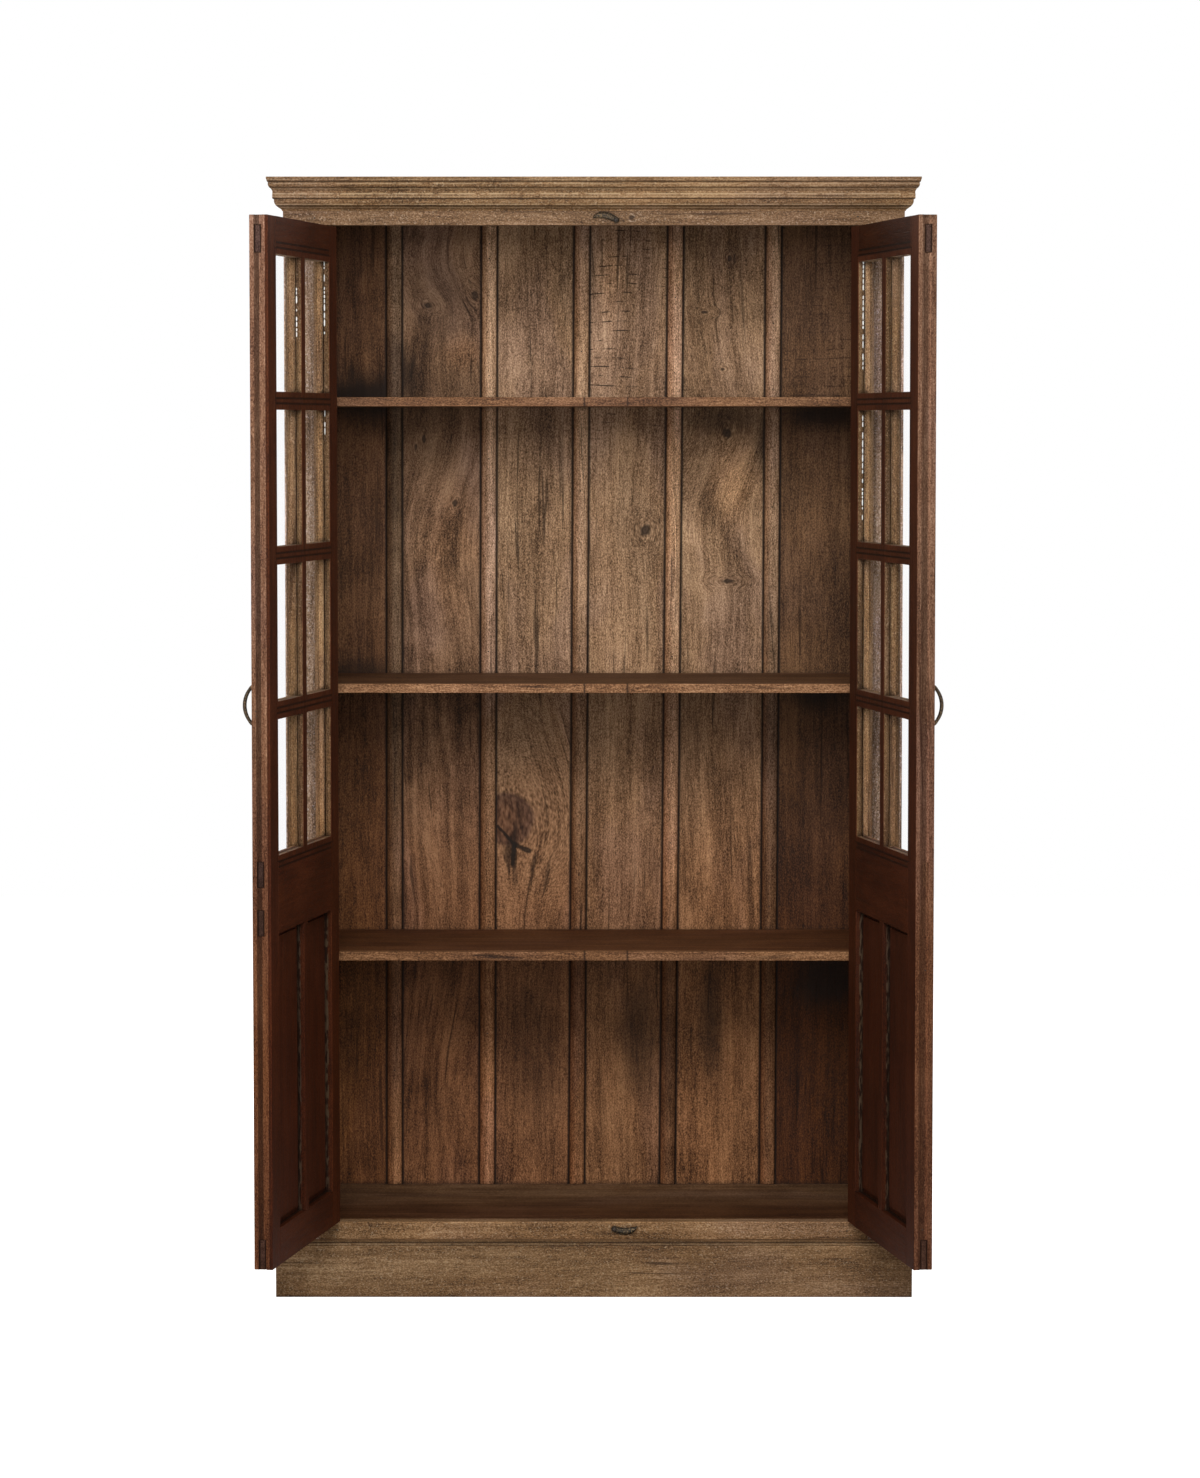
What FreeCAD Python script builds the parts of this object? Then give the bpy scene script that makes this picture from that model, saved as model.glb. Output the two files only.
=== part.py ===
import FreeCAD, Part
import os
import re
import Sketcher
from FreeCAD import Placement, Rotation, Vector

# A tall two-door display cabinet in solid wood. The carcass is a face frame with panelled sides
# and a boarded back, standing on a moulded plinth and capped by a mitred cornice. Each framed
# door has eight panes over two fielded panels and hangs on butt hinges, shown standing open.
# X runs to the right, Y to the back and Z up. The origin is on the floor, midway along the
# plinth, in the plane of the face frame.

doc = FreeCAD.newDocument("cabinet")
sheet = doc.addObject("Spreadsheet::Sheet", "sizes")
names = set()


def sizes(title, values):
    """Write a titled block of named sizes into the sheet, in millimetres and degrees."""
    row = len(names) + 1
    sheet.set(f"C{row}", title)
    for name, value in values.items():
        row = len(names) + 1
        sheet.set(f"A{row}", name)
        sheet.set(f"B{row}", str(value))
        sheet.setAlias(f"B{row}", name)
        names.add(name)
    doc.recompute()


def size(text):
    """The value that an expression in named sizes has now."""
    return float(sheet.evalExpression(text))


def bind(target, prop, text):
    """Tie a property to an expression in named sizes."""
    prefixed = re.sub(r"[a-z_][a-z_0-9]*", lambda w: "sizes." * (w.group() in names) + w.group(), text)
    target.setExpression(prop, prefixed)


def block(label, across, along, up):
    """A plain board between two places on each axis."""
    box = doc.addObject("Part::Box", label)
    for prop, axis, (low, high) in zip(("Length", "Width", "Height"), "xyz", (across, along, up)):
        bind(box, prop, f"({high}) - ({low})")
        bind(box, f"Placement.Base.{axis}", low)
    return box


def cut(label, base, *tools):
    """A piece with other solids taken out of it."""
    result = doc.addObject("Part::Cut", label)
    result.Base = base
    result.Tool = tools[0] if len(tools) == 1 else group(label + "_tools", *tools)
    return result


def join(label, *pieces):
    """Several solids made one."""
    result = doc.addObject("Part::MultiFuse", label)
    result.Shapes = list(pieces)
    result.Refine = True
    return result


def group(label, *pieces):
    """Separate solids kept together."""
    result = doc.addObject("Part::Compound", label)
    result.Links = list(pieces)
    return result


def mirrored(label, source):
    """The same piece for the other side of the cabinet."""
    result = doc.addObject("Part::Mirroring", label)
    result.Source = source
    result.Normal = Vector(1, 0, 0)
    return result


def outline(body, role, points, offset="0"):
    """A closed outline on one of the body's own planes, tied to the sizes at every corner.

    Each point is (across, up) or (across, up, bulge). The bulge makes the edge that arrives at
    the point an arc: it is the arc's rise over half its chord, positive turning left.
    """
    sketch = body.newObject("Sketcher::SketchObject", body.Name + "_outline")
    plane = next(item for item in body.Origin.OriginFeatures if item.Role == role)
    sketch.AttachmentSupport = [(plane, "")]
    sketch.MapMode = "FlatFace"
    bind(sketch, "AttachmentOffset.Base.z", offset)
    places = [Vector(size(point[0]), size(point[1]), 0) for point in points]
    ends = []
    for index, point in enumerate(points):
        start, end = places[index - 1], places[index]
        bulge = point[2] if len(point) > 2 else 0
        if not bulge:
            sketch.addGeometry(Part.LineSegment(start, end))
            ends.append((1, 2))
            continue
        chord = end - start
        middle = (start + end) * 0.5 + Vector(chord.y, -chord.x, 0) * (bulge / 2)
        arc = Part.Arc(start, middle, end)
        sketch.addGeometry(arc)
        ends.append((1, 2) if bulge > 0 else (2, 1))
    for index, point in enumerate(points):
        following = (index + 1) % len(points)
        sketch.addConstraint(
            Sketcher.Constraint("Coincident", index, ends[index][1], following, ends[following][0])
        )
        for kind, place, text in zip(("DistanceX", "DistanceY"), places[index], point):
            number = sketch.addConstraint(
                Sketcher.Constraint(kind, -1, 1, index, ends[index][1], place)
            )
            bind(sketch, f"Constraints[{number}]", text)
        if len(point) > 2:
            bulge = abs(point[2])
            before = points[index - 1]
            run = f"({point[0]} - ({before[0]}))"
            rise = f"({point[1]} - ({before[1]}))"
            radius = f"sqrt({run} ^ 2 + {rise} ^ 2) * {(1 + bulge ** 2) / (4 * bulge)}"
            number = sketch.addConstraint(Sketcher.Constraint("Radius", index, size(radius)))
            bind(sketch, f"Constraints[{number}]", radius)
    return sketch


def moulded(label, role, points, start, end, backwards=False):
    """A length of moulding: an outline on a plane, run from one place to another."""
    body = doc.addObject("PartDesign::Body", label)
    sketch = outline(body, role, points, f"-({start})" if backwards else start)
    pad = body.newObject("PartDesign::Pad", label + "_run")
    pad.Profile = sketch
    bind(pad, "Length", f"({end}) - ({start})")
    pad.Reversed = backwards
    body.Tip = pad
    return body


kept = []


def keep(piece, label):
    """Count a finished piece, under the name that it goes by."""
    piece.Label = label
    kept.append(piece)
    return piece


def keep_pair(piece, label):
    """Keep a left piece, and its mirror image on the right."""
    keep(piece, "left_" + label)
    keep(mirrored("right_" + label, piece), "right_" + label)


quarter_share = 0.41421356  # the bulge of a quarter round

cabinet_sizes = {
    "carcass_width": 1102,
    "carcass_depth": 431,
    "overall_height": 2000,
    "plinth_height": 101.5,
    "cornice_height": 59,
    "cornice_projection": 28,
    "plinth_projection": 20,
    "plinth_lap": 10,
    "fit_gap": 0.3,
    "overrun": 5,
}
sizes("Whole cabinet", cabinet_sizes)
member_sizes = {
    "stile_width": 59,
    "stile_depth": 34,
    "frieze_height": 66,
    "bottom_rail_height": 31.5,
    "top_board_thickness": 18,
    "floor_board_thickness": 20,
    "floor_front_board": 97,
    "stub_tenon_length": 20,
    "stub_tenon_thickness": 12,
    "stub_tenon_shoulder": 8,
    "side_thickness": 22,
    "rear_post_depth": 50,
    "side_top_rail_height": 60,
    "side_middle_rail_height": 60,
    "side_bottom_rail_height": 70,
    "side_middle_rail_foot": 1020,
    "side_panel_thickness": 8,
    "side_groove_depth": 10,
    "back_board_thickness": 14,
    "batten_width": 30,
    "batten_rise": 9,
    "batten_end_gap": 0.5,
}
sizes("Carcass members", member_sizes)
carcass_places = {
    "carcass_half": "=carcass_width / 2",
    "opening_half": "=carcass_half - stile_width",
    "frieze_top": "=overall_height - top_board_thickness",
    "frieze_foot": "=frieze_top - frieze_height",
    "bottom_rail_top": "=plinth_height + bottom_rail_height",
    "side_inner": "=carcass_half - side_thickness",
    "back_face": "=carcass_depth - back_board_thickness",
    "rear_post_front": "=carcass_depth - rear_post_depth",
}
sizes("Places in the carcass", carcass_places)

# The front stiles stand on the plinth. The bottom rail is tenoned between them, and the frieze
# runs the whole width over their heads, which enter it with a tenon. A groove down the back of
# each stile, and on up the frieze, takes the side frame.


tenon_depth = ("(stile_depth - stub_tenon_thickness) / 2", "(stile_depth + stub_tenon_thickness) / 2")


def head_tenon(label, gap):
    """The tenon on a front stile's head, or with a gap over it the mortise in the frieze."""
    return block(
        label,
        ("-carcass_half + stub_tenon_shoulder", "-opening_half - stub_tenon_shoulder"),
        tenon_depth,
        ("frieze_foot - overrun", "frieze_foot + stub_tenon_length + " + gap),
    )


def side_groove(label, front, back, foot, top):
    """The groove round a side frame that holds its panels and the rails' tongues."""
    return block(
        label,
        ("-carcass_half + (side_thickness - side_panel_thickness) / 2",
         "-carcass_half + (side_thickness + side_panel_thickness) / 2"),
        (front, back),
        (foot, top),
    )


def front_groove(label, foot, top):
    """The side frame's groove where it runs up the back of the face frame."""
    return side_groove(label, "stile_depth - side_groove_depth", "stile_depth + overrun",
                       foot + " - overrun", top + " + overrun")


def screw_bore(label, height, place):
    """The bore in a front rail for a turn button's screw."""
    bore = doc.addObject("Part::Cylinder", label)
    bind(bore, "Radius", "screw_radius + screw_fit")
    bind(bore, "Height", "screw_grip + screw_fit")
    bore.Placement = Placement(Vector(0, 0, 0), Rotation(Vector(1, 0, 0), -90))
    bind(bore, "Placement.Base.x", place)
    bind(bore, "Placement.Base.z", height)
    return bore


button_sizes = {
    "top_button_place": 39.2,
    "top_button_angle": 169.5,
    "bottom_button_place": 36.6,
    "bottom_button_rise": 19,
    "bottom_button_angle": 0,
    "button_reach": 41.5,
    "button_tip_rise": 3,
    "button_head_radius": 5.5,
    "button_thickness": 5,
    "button_stand": 0.3,
    "screw_radius": 2.2,
    "screw_head_radius": 4.6,
    "screw_head_height": 2.6,
    "screw_grip": 18,
    "screw_fit": 0.05,
    "button_drop_share": 0.378,
    "top_button_height": "=overall_height - cornice_height - button_reach * button_drop_share",
    "bottom_button_height": "=plinth_height + bottom_button_rise",
}
sizes("Turn buttons", button_sizes)

frieze_ends = []
for end_cut in (head_tenon("frieze_mortise", "fit_gap"),
                front_groove("frieze_groove", "frieze_foot", "frieze_top")):
    frieze_ends += [end_cut, mirrored(end_cut.Label + "_right", end_cut)]
frieze_board = block("frieze_board", ("-carcass_half", "carcass_half"), ("0", "stile_depth"),
                     ("frieze_foot", "frieze_top"))
keep(
    cut("frieze", frieze_board, *frieze_ends,
        screw_bore("frieze_bore", "top_button_height", "top_button_place")),
    "frieze_rail",
)
rail_tenon_height = ("plinth_height + stub_tenon_shoulder", "bottom_rail_top - stub_tenon_shoulder")
bottom_rail_board = block("bottom_rail_board", ("-opening_half", "opening_half"), ("0", "stile_depth"),
                          ("plinth_height", "bottom_rail_top"))
bottom_rail_tenon = block(
    "bottom_rail_tenon",
    ("-opening_half - stub_tenon_length", "opening_half + stub_tenon_length"),
    tenon_depth,
    rail_tenon_height,
)
keep(
    cut("bottom_rail_bored", join("bottom_rail_tenoned", bottom_rail_board, bottom_rail_tenon),
        screw_bore("bottom_rail_bore", "bottom_button_height", "bottom_button_place")),
    "bottom_rail",
)


hinge_sizes = {
    "door_foot_gap": 3,
    "door_head_gap": 4,
    "hinge_height": 72,
    "top_hinge_drop": 200,
    "bottom_hinge_rise": 194,
    "hinge_gap": 2,
    "hinge_leaf_thickness": 1.85,
    "hinge_leaf_depth": 24,
    "hinge_knuckle_radius": 4,
    "hinge_face_gap": 0.2,
    "hinge_pin_radius": 2.2,
    "hinge_tip_radius": 3.2,
    "hinge_tip_height": 2,
    "hinge_pin_fit": 0.05,
    "hinge_knuckle_gap": 0.3,
    "hinge_sides": 8,
    "door_foot": "=bottom_rail_top + door_foot_gap",
    "door_head": "=frieze_foot - door_head_gap",
    "top_hinge_place": "=door_head - top_hinge_drop",
    "middle_hinge_place": "=(door_head + door_foot) / 2",
    "bottom_hinge_place": "=door_foot + bottom_hinge_rise",
    "hinge_pin_stand": "=hinge_knuckle_radius + hinge_face_gap",
    "knuckle_length": "=hinge_height / 3",
    "pin_place": "=opening_half - hinge_gap / 2",
}
sizes("Butt hinges", hinge_sizes)
hinge_places = ("top_hinge_place", "middle_hinge_place", "bottom_hinge_place")


def hinge_recess(label, across, front, place):
    """The shallow recess that a hinge leaf is let into."""
    return block(
        label,
        across,
        (front, f"{front} + hinge_leaf_depth + fit_gap"),
        (f"{place} - hinge_height / 2 - fit_gap", f"{place} + hinge_height / 2 + fit_gap"),
    )


stile_board = block(
    "stile_board",
    ("-carcass_half", "-opening_half"),
    ("0", "stile_depth"),
    ("plinth_height", "frieze_foot"),
)
leaf_seats = [
    hinge_recess(
        f"stile_{place}_recess",
        ("-pin_place - hinge_leaf_thickness - hinge_knuckle_gap / 2", "-opening_half + overrun"),
        "-hinge_pin_stand",
        place,
    )
    for place in hinge_places
]
keep_pair(
    cut(
        "front_stile_shaped",
        join("stile_tenoned", stile_board, head_tenon("stile_head_tenon", "0")),
        block("bottom_rail_mortise", ("-opening_half - stub_tenon_length - fit_gap", "-opening_half + overrun"),
              tenon_depth, rail_tenon_height),
        front_groove("stile_groove", "plinth_height", "frieze_foot"),
        *leaf_seats,
    ),
    "front_stile",
)

# Each side is a frame of a rear post and three rails round two flat panels, all let into the
# groove in the front stile.
rear_post = block(
    "rear_post_board",
    ("-carcass_half", "-side_inner"),
    ("rear_post_front", "carcass_depth"),
    ("plinth_height", "frieze_top"),
)
keep_pair(
    cut(
        "rear_post_grooved",
        rear_post,
        side_groove("rear_post_groove", "rear_post_front - overrun",
                    "rear_post_front + side_groove_depth",
                    "plinth_height - overrun", "frieze_top + overrun"),
    ),
    "rear_post",
)


def side_rail(label, foot, top, grooved_foot, grooved_top):
    """A rail of a side frame, its tongues in the posts and a groove where a panel meets it."""
    board = block(label + "_board", ("-carcass_half", "-side_inner"),
                  ("stile_depth", "rear_post_front"), (foot, top))
    tongue = side_groove(label + "_tongue", "stile_depth - side_groove_depth + fit_gap",
                         "rear_post_front + side_groove_depth - fit_gap", foot, top)
    tongued = join(label + "_tongued", board, tongue)
    grooves = []
    if grooved_foot:
        grooves.append(side_groove(label + "_lower_groove", "0", "carcass_depth",
                                   foot + " - overrun", foot + " + side_groove_depth"))
    if grooved_top:
        grooves.append(side_groove(label + "_upper_groove", "0", "carcass_depth",
                                   top + " - side_groove_depth", top + " + overrun"))
    return cut(label, tongued, *grooves)


keep_pair(
    group(
        "side_rail_set",
        side_rail("side_bottom_rail", "plinth_height", "plinth_height + side_bottom_rail_height",
                  False, True),
        side_rail("side_middle_rail", "side_middle_rail_foot",
                  "side_middle_rail_foot + side_middle_rail_height", True, True),
        side_rail("side_top_rail", "frieze_top - side_top_rail_height", "frieze_top", True, False),
    ),
    "side_rails",
)


def side_panel(label, foot, top):
    """A flat panel that floats in the grooves of the side frame."""
    return side_groove(
        label,
        "stile_depth - side_groove_depth + fit_gap",
        "rear_post_front + side_groove_depth - fit_gap",
        foot + " - side_groove_depth + fit_gap",
        top + " + side_groove_depth - fit_gap",
    )


keep_pair(
    group(
        "side_panel_set",
        side_panel("side_lower_panel", "plinth_height + side_bottom_rail_height",
                   "side_middle_rail_foot"),
        side_panel("side_upper_panel", "side_middle_rail_foot + side_middle_rail_height",
                   "frieze_top - side_top_rail_height"),
    ),
    "side_panels",
)

# The top board caps the posts. The floor lies level with the bottom rail's top edge, in a narrow
# board at the front and a wide one behind it.
keep(
    block("top_board_plain", ("-carcass_half", "carcass_half"), ("0", "carcass_depth"),
          ("frieze_top", "overall_height")),
    "top_board",
)
floor_level = ("bottom_rail_top - floor_board_thickness", "bottom_rail_top")
floor_joint = "stile_depth + floor_front_board"
keep(
    group(
        "floor_board_pair",
        block("floor_front_board", ("-side_inner", "side_inner"), ("stile_depth", floor_joint), floor_level),
        block("floor_back_board", ("-side_inner", "side_inner"), (floor_joint, "back_face"), floor_level),
    ),
    "floor_boards",
)

# Six boards stand side by side to make the back. Half-round battens cover their joints. They
# were fixed by eye, so each leans a little: the places are those of its centre line.
batten_sizes = {
    "batten_1_top": -373.0, "batten_1_foot": -377.3,
    "batten_2_top": -195.3, "batten_2_foot": -203.2,
    "batten_3_top": -22.5, "batten_3_foot": -34.0,
    "batten_4_top": 152.0, "batten_4_foot": 137.2,
    "batten_5_top": 334.2, "batten_5_foot": 325.6,
    "batten_foot_place": "=bottom_rail_top + batten_end_gap",
    "batten_length": "=frieze_top - bottom_rail_top - 2 * batten_end_gap",
}
sizes("Back", batten_sizes)
batten_count = 5
joints = [f"(batten_{number}_top + batten_{number}_foot) / 2" for number in range(1, batten_count + 1)]
edges = ["-side_inner", *joints, "side_inner"]
for number in range(1, batten_count + 2):
    board = block(f"back_board_{number}_plain", (edges[number - 1], edges[number]),
                  ("back_face", "carcass_depth"), ("plinth_height", "frieze_top"))
    keep(board, f"back_board_{number}")

battens = []
for number in range(1, batten_count + 1):
    batten = moulded(
        f"batten_{number}", "XY_Plane",
        [("-batten_width / 2", "0", -2 * size("batten_rise / batten_width")),
         ("batten_width / 2", "0")][::-1],
        "0", "batten_length",
    )
    lean = f"(batten_{number}_top - batten_{number}_foot)"
    batten.Placement = Placement(Vector(0, 0, 0), Rotation(Vector(0, 1, 0), 1))
    bind(batten, "Placement.Rotation.Angle", f"atan({lean} / batten_length)")
    bind(batten, "Placement.Base.x", f"batten_{number}_foot")
    bind(batten, "Placement.Base.y", "back_face")
    bind(batten, "Placement.Base.z", "batten_foot_place")
    battens.append(batten)
keep(group("batten_set", *battens), "back_battens")

# Three fixed shelves lie on bearers screwed to the sides. Each has a lipping on its front edge
# in three lengths, the short one where an upright once stood.
shelf_sizes = {
    "shelf_thickness": 16,
    "shelf_setback": 3,
    "lipping_depth": 22,
    "lipping_joint_left": -17,
    "lipping_joint_right": 60,
    "lower_shelf_top": 617,
    "middle_shelf_top": 1099.5,
    "upper_shelf_top": 1612,
    "bearer_width": 18,
    "bearer_height": 24,
    "bearer_setback": 20,
    "shelf_front": "=stile_depth + shelf_setback",
    "shelf_back": "=back_face - batten_rise - fit_gap",
    "shelf_half": "=side_inner - fit_gap",
}
sizes("Shelves", shelf_sizes)
lippings = []
bearers = []
for shelf in ("lower_shelf", "middle_shelf", "upper_shelf"):
    level = (f"{shelf}_top - shelf_thickness", f"{shelf}_top")
    keep(
        block(shelf + "_plain", ("-shelf_half", "shelf_half"),
              ("shelf_front + lipping_depth", "shelf_back"), level),
        shelf,
    )
    cuts = ("-shelf_half", "lipping_joint_left", "lipping_joint_right", "shelf_half")
    for number, span in enumerate(zip(cuts, cuts[1:]), 1):
        lippings.append(block(f"{shelf}_lipping_{number}", span,
                              ("shelf_front", "shelf_front + lipping_depth"), level))
    for side, span in (("left", ("-side_inner", "-side_inner + bearer_width")),
                       ("right", ("side_inner - bearer_width", "side_inner"))):
        bearers.append(block(
            f"{side}_{shelf}_bearer", span,
            ("shelf_front + bearer_setback", "back_face - bearer_setback"),
            (f"{shelf}_top - shelf_thickness - bearer_height", f"{shelf}_top - shelf_thickness"),
        ))
keep(group("lipping_set", *lippings), "shelf_lippings")
keep(group("bearer_set", *bearers), "shelf_bearers")

# The cornice is planted on the frieze and the sides, and mitred at the front corners. Its
# outline is given in shares of its projection and height, from the wall side and the top down.
cornice_shares = (
    (0, 0),
    (1, 0),
    (1, 0.05),
    (0.93, 0.15),
    (0.87, 0.16),
    (0.74, 0.34, 0.35),
    (0.63, 0.51, -0.3),
    (0.63, 0.64),
    (0.52, 0.66),
    (0.32, 0.885, 0.3),
    (0.27, 0.9),
    (0.05, 1, -0.25),
    (0, 1),
)
bead_sizes = {
    "plinth_bead": 5,
    "plinth_quirk": 1.6,
    "plinth_bead_drop": 2.6,
}
sizes("Plinth bead", bead_sizes)


bead_share = 0.64  # the bulge of the bead


def cornice_outline(sign):
    """The cornice's outline, as distances out from the wall and heights."""
    points = []
    for out, down, *bulge in cornice_shares:
        turned = [part * -sign for part in bulge]
        points.append((f"cornice_projection * {sign * out}",
                       f"overall_height - cornice_height * {down}", *turned))
    return points


def plinth_outline(sign, base):
    """The plinth's outline: a flat face with a small bead between quirks along its top edge."""
    face = "plinth_projection"
    bead_top = "plinth_height - plinth_bead_drop"
    points = [
        ("-plinth_lap", "0"),
        (face, "0"),
        (face, f"{bead_top} - plinth_bead - plinth_quirk"),
        (f"{face} - plinth_quirk", f"{bead_top} - plinth_bead"),
        (f"{face} - plinth_quirk", bead_top, bead_share),
        (f"{face} - plinth_quirk * 2", bead_top),
        (f"{face} - plinth_quirk", "plinth_height"),
        ("-plinth_lap", "plinth_height"),
    ]
    turned = []
    for out, up, *bulge in points:
        turned.append((f"{base} + ({out}) * {sign}", up, *[part * sign for part in bulge]))
    return turned


def mitre(label, side, reach, keeps_front, foot, top):
    """The wedge of wood sawn off where a front moulding meets its return."""
    edge = f"{side} * carcass_half"
    inner = (f"{edge} - {side} * ({reach[0]} + overrun)", f"{reach[0]} + overrun")
    outer = (f"{edge} + {side} * ({reach[1]} + overrun)", f"-({reach[1]} + overrun)")
    corner = (outer[0], inner[1]) if keeps_front else (inner[0], outer[1])
    return moulded(label, "XY_Plane", [inner, outer, corner], foot, top)


def run_round(label, front_outline, return_outline, reach, foot, top):
    """A moulding along the front and down the left side, mitred, with its right-hand return."""
    length = f"carcass_half + {reach[1]} + overrun"
    front = moulded(label + "_front_run", "YZ_Plane", front_outline, f"-({length})", length)
    keep(
        cut(label + "_front_mitred", front,
            mitre(label + "_left_front_mitre", "-1", reach, True, foot, top),
            mitre(label + "_right_front_mitre", "1", reach, True, foot, top)),
        label + "_front",
    )
    side = moulded(label + "_side_run", "XZ_Plane", return_outline,
                   f"-({reach[1]} + overrun)", "carcass_depth", backwards=True)
    back = cut(label + "_side_mitred", side,
               mitre(label + "_side_mitre", "-1", reach, False, foot, top))
    keep_pair(back, label + "_return")


run_round(
    "cornice",
    cornice_outline(-1),
    [(f"-carcass_half + {across}", *rest) for across, *rest in cornice_outline(-1)],
    ("0", "cornice_projection"),
    "overall_height - cornice_height - overrun",
    "overall_height + overrun",
)
run_round(
    "plinth",
    plinth_outline(-1, "0"),
    plinth_outline(-1, "-carcass_half"),
    ("plinth_lap", "plinth_projection"),
    "-overrun",
    "plinth_height + overrun",
)
keep(
    block("plinth_back_plain", ("-carcass_half + plinth_lap", "carcass_half - plinth_lap"),
          ("carcass_depth - side_thickness", "carcass_depth"), ("0", "plinth_height")),
    "plinth_back",
)

# The left door is laid out closed, from its hinge pin: X across to the meeting stile, Y from
# the pin's line back through the wood. The right door is its mirror image.
door_sizes = {
    "door_open_angle": 100.2,
    "meeting_gap": 4,
    "door_thickness": 32,
    "door_stile_width": 55,
    "door_top_rail_height": 63,
    "door_lock_rail_height": 132,
    "door_lock_rail_foot": 703,
    "door_bottom_rail_height": 63,
    "mould_fillet": 2,
    "mould_round": 7,
    "glass_seat": 19.5,
    "glass_thickness": 3,
    "glass_play": 0.3,
    "bar_core": 9,
    "side_bead_width": 8,
    "level_bead_width": 10.5,
    "panel_groove_seat": 12,
    "panel_groove_width": 6,
    "panel_groove_depth": 9,
    "panel_play": 0.2,
    "panel_field_margin": 9,
    "panel_field_rise": 3,
    "tenon_seat": 9.4,
    "tenon_thickness": 9.6,
    "tenon_fit": 0.1,
    "tenon_haunch": 17,
    "tenon_shoulder": 1,
    "lock_tenon_height": 42,
    "lock_tenon_drop": 7,
    "bottom_tenon_height": 50,
    "edge_groove_width": 11,
    "edge_groove_depth": 2,
}
sizes("Doors", door_sizes)
door_places = {
    "hinge_edge": "=hinge_gap / 2",
    "door_width": "=opening_half - hinge_gap - meeting_gap / 2",
    "free_edge": "=hinge_edge + door_width",
    "outer_face": "=hinge_pin_stand",
    "inner_face": "=outer_face + door_thickness",
    "mould_width": "=mould_fillet + mould_round",
    "sight_left": "=hinge_edge + door_stile_width",
    "sight_right": "=free_edge - door_stile_width",
    "sight_middle": "=(sight_left + sight_right) / 2",
    "glass_face": "=outer_face + glass_seat",
    "bead_face": "=glass_face + glass_thickness",
    "upright_bar": "=bar_core + 2 * side_bead_width",
    "level_bar": "=bar_core + 2 * level_bead_width",
    "panels_foot": "=door_foot + door_bottom_rail_height",
    "panels_head": "=door_lock_rail_foot",
    "panes_foot": "=door_lock_rail_foot + door_lock_rail_height",
    "panes_head": "=door_head - door_top_rail_height",
    "pane_width": "=(sight_right - sight_left - upright_bar) / 2",
    "pane_height": "=(panes_head - panes_foot - 3 * level_bar) / 4",
    "groove_front": "=outer_face + panel_groove_seat",
}
sizes("Places on a door", door_places)
pane_rows = 4
pane_columns = 2


def hang(piece, label):
    """Hang a finished piece of the left door at its open angle, and keep its mirror image."""
    piece.Placement = Placement(Vector(0, 0, 0), Rotation(Vector(0, 0, -1), 1))
    bind(piece, "Placement.Rotation.Angle", "door_open_angle")
    bind(piece, "Placement.Base.x", "-pin_place")
    bind(piece, "Placement.Base.y", "-hinge_pin_stand")
    keep_pair(piece, "door_" + label)


def sticking(edge, towards):
    """The moulded outer corner of a member: a fillet, a quarter round and a narrow land.

    The points run from the face down into the door, on a member that lies beside an opening on
    the side given. The first coordinate is across the member.
    """
    face_end = f"{edge} - ({towards}) * mould_width"
    return [
        (face_end, "outer_face"),
        (face_end, "outer_face + mould_fillet"),
        (f"{edge} - ({towards}) * mould_fillet", "outer_face + mould_width", quarter_share * towards),
        (edge, "outer_face + mould_width"),
    ]


def flipped(points):
    """The same run of points the other way round, with its arcs kept."""
    bulges = [point[2] if len(point) > 2 else 0 for point in points]
    result = []
    for index in range(len(points) - 1, -1, -1):
        arc = -bulges[index + 1] if index + 1 < len(points) else 0
        result.append((*points[index][:2], arc) if arc else points[index][:2])
    return result


def swapped(points):
    """The outline for a level member: its width stands upright and its depth lies across."""
    return [(depth, across, *[-part for part in bulge]) for across, depth, *bulge in points]


def member_outline(low, high, low_moulded, high_moulded):
    """The outline across a door member, moulded along one outer corner or both."""
    points = [(low, "inner_face")]
    points += flipped(sticking(low, -1)) if low_moulded else [(low, "outer_face")]
    points += sticking(high, 1) if high_moulded else [(high, "outer_face")]
    points.append((high, "inner_face"))
    return points


def rebate(label, across, up):
    """The step on the inside of the door that takes the glass and its beads."""
    return block(label, across, ("glass_face", "inner_face + overrun"), up)


def groove(label, across, up):
    """The groove that holds the lower panels."""
    return block(label, across, ("groove_front", "groove_front + panel_groove_width"), up)


panes_zone = ("panes_foot - level_bead_width", "panes_head + level_bead_width")
panels_zone = ("panels_foot - panel_groove_depth", "panels_head + panel_groove_depth")
panes_across = ("sight_left - side_bead_width", "sight_right + side_bead_width")
rail_span = ("sight_left - mould_width", "sight_right + mould_width")

# The stiles run the door's full height, moulded along the inner outside corner, rebated beside
# the panes and grooved beside the panels.
stile_run = ("door_foot", "door_head")
hinge_stile = cut(
    "hinge_stile_moulded",
    moulded("hinge_stile_run", "XY_Plane",
            member_outline("hinge_edge", "sight_left", False, True), *stile_run),
    rebate("hinge_stile_rebate", ("sight_left - side_bead_width", "sight_left + overrun"), panes_zone),
    groove("hinge_stile_groove", ("sight_left - panel_groove_depth", "sight_left + overrun"), panels_zone),
)
meeting_stile = cut(
    "meeting_stile_moulded",
    moulded("meeting_stile_run", "XY_Plane",
            member_outline("sight_right", "free_edge", True, False), *stile_run),
    rebate("meeting_stile_rebate", ("sight_right - overrun", "sight_right + side_bead_width"), panes_zone),
    groove("meeting_stile_groove", ("sight_right - overrun", "sight_right + panel_groove_depth"),
           panels_zone),
)
stiles = (hinge_stile, meeting_stile)


def level_member(label, foot, top, foot_moulded, top_moulded, span=rail_span):
    """A level member of the door, run past its shoulders so that its ends can be coped."""
    outline_points = swapped(member_outline(foot, top, foot_moulded, top_moulded))
    return moulded(label, "YZ_Plane", outline_points, *span)


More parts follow.
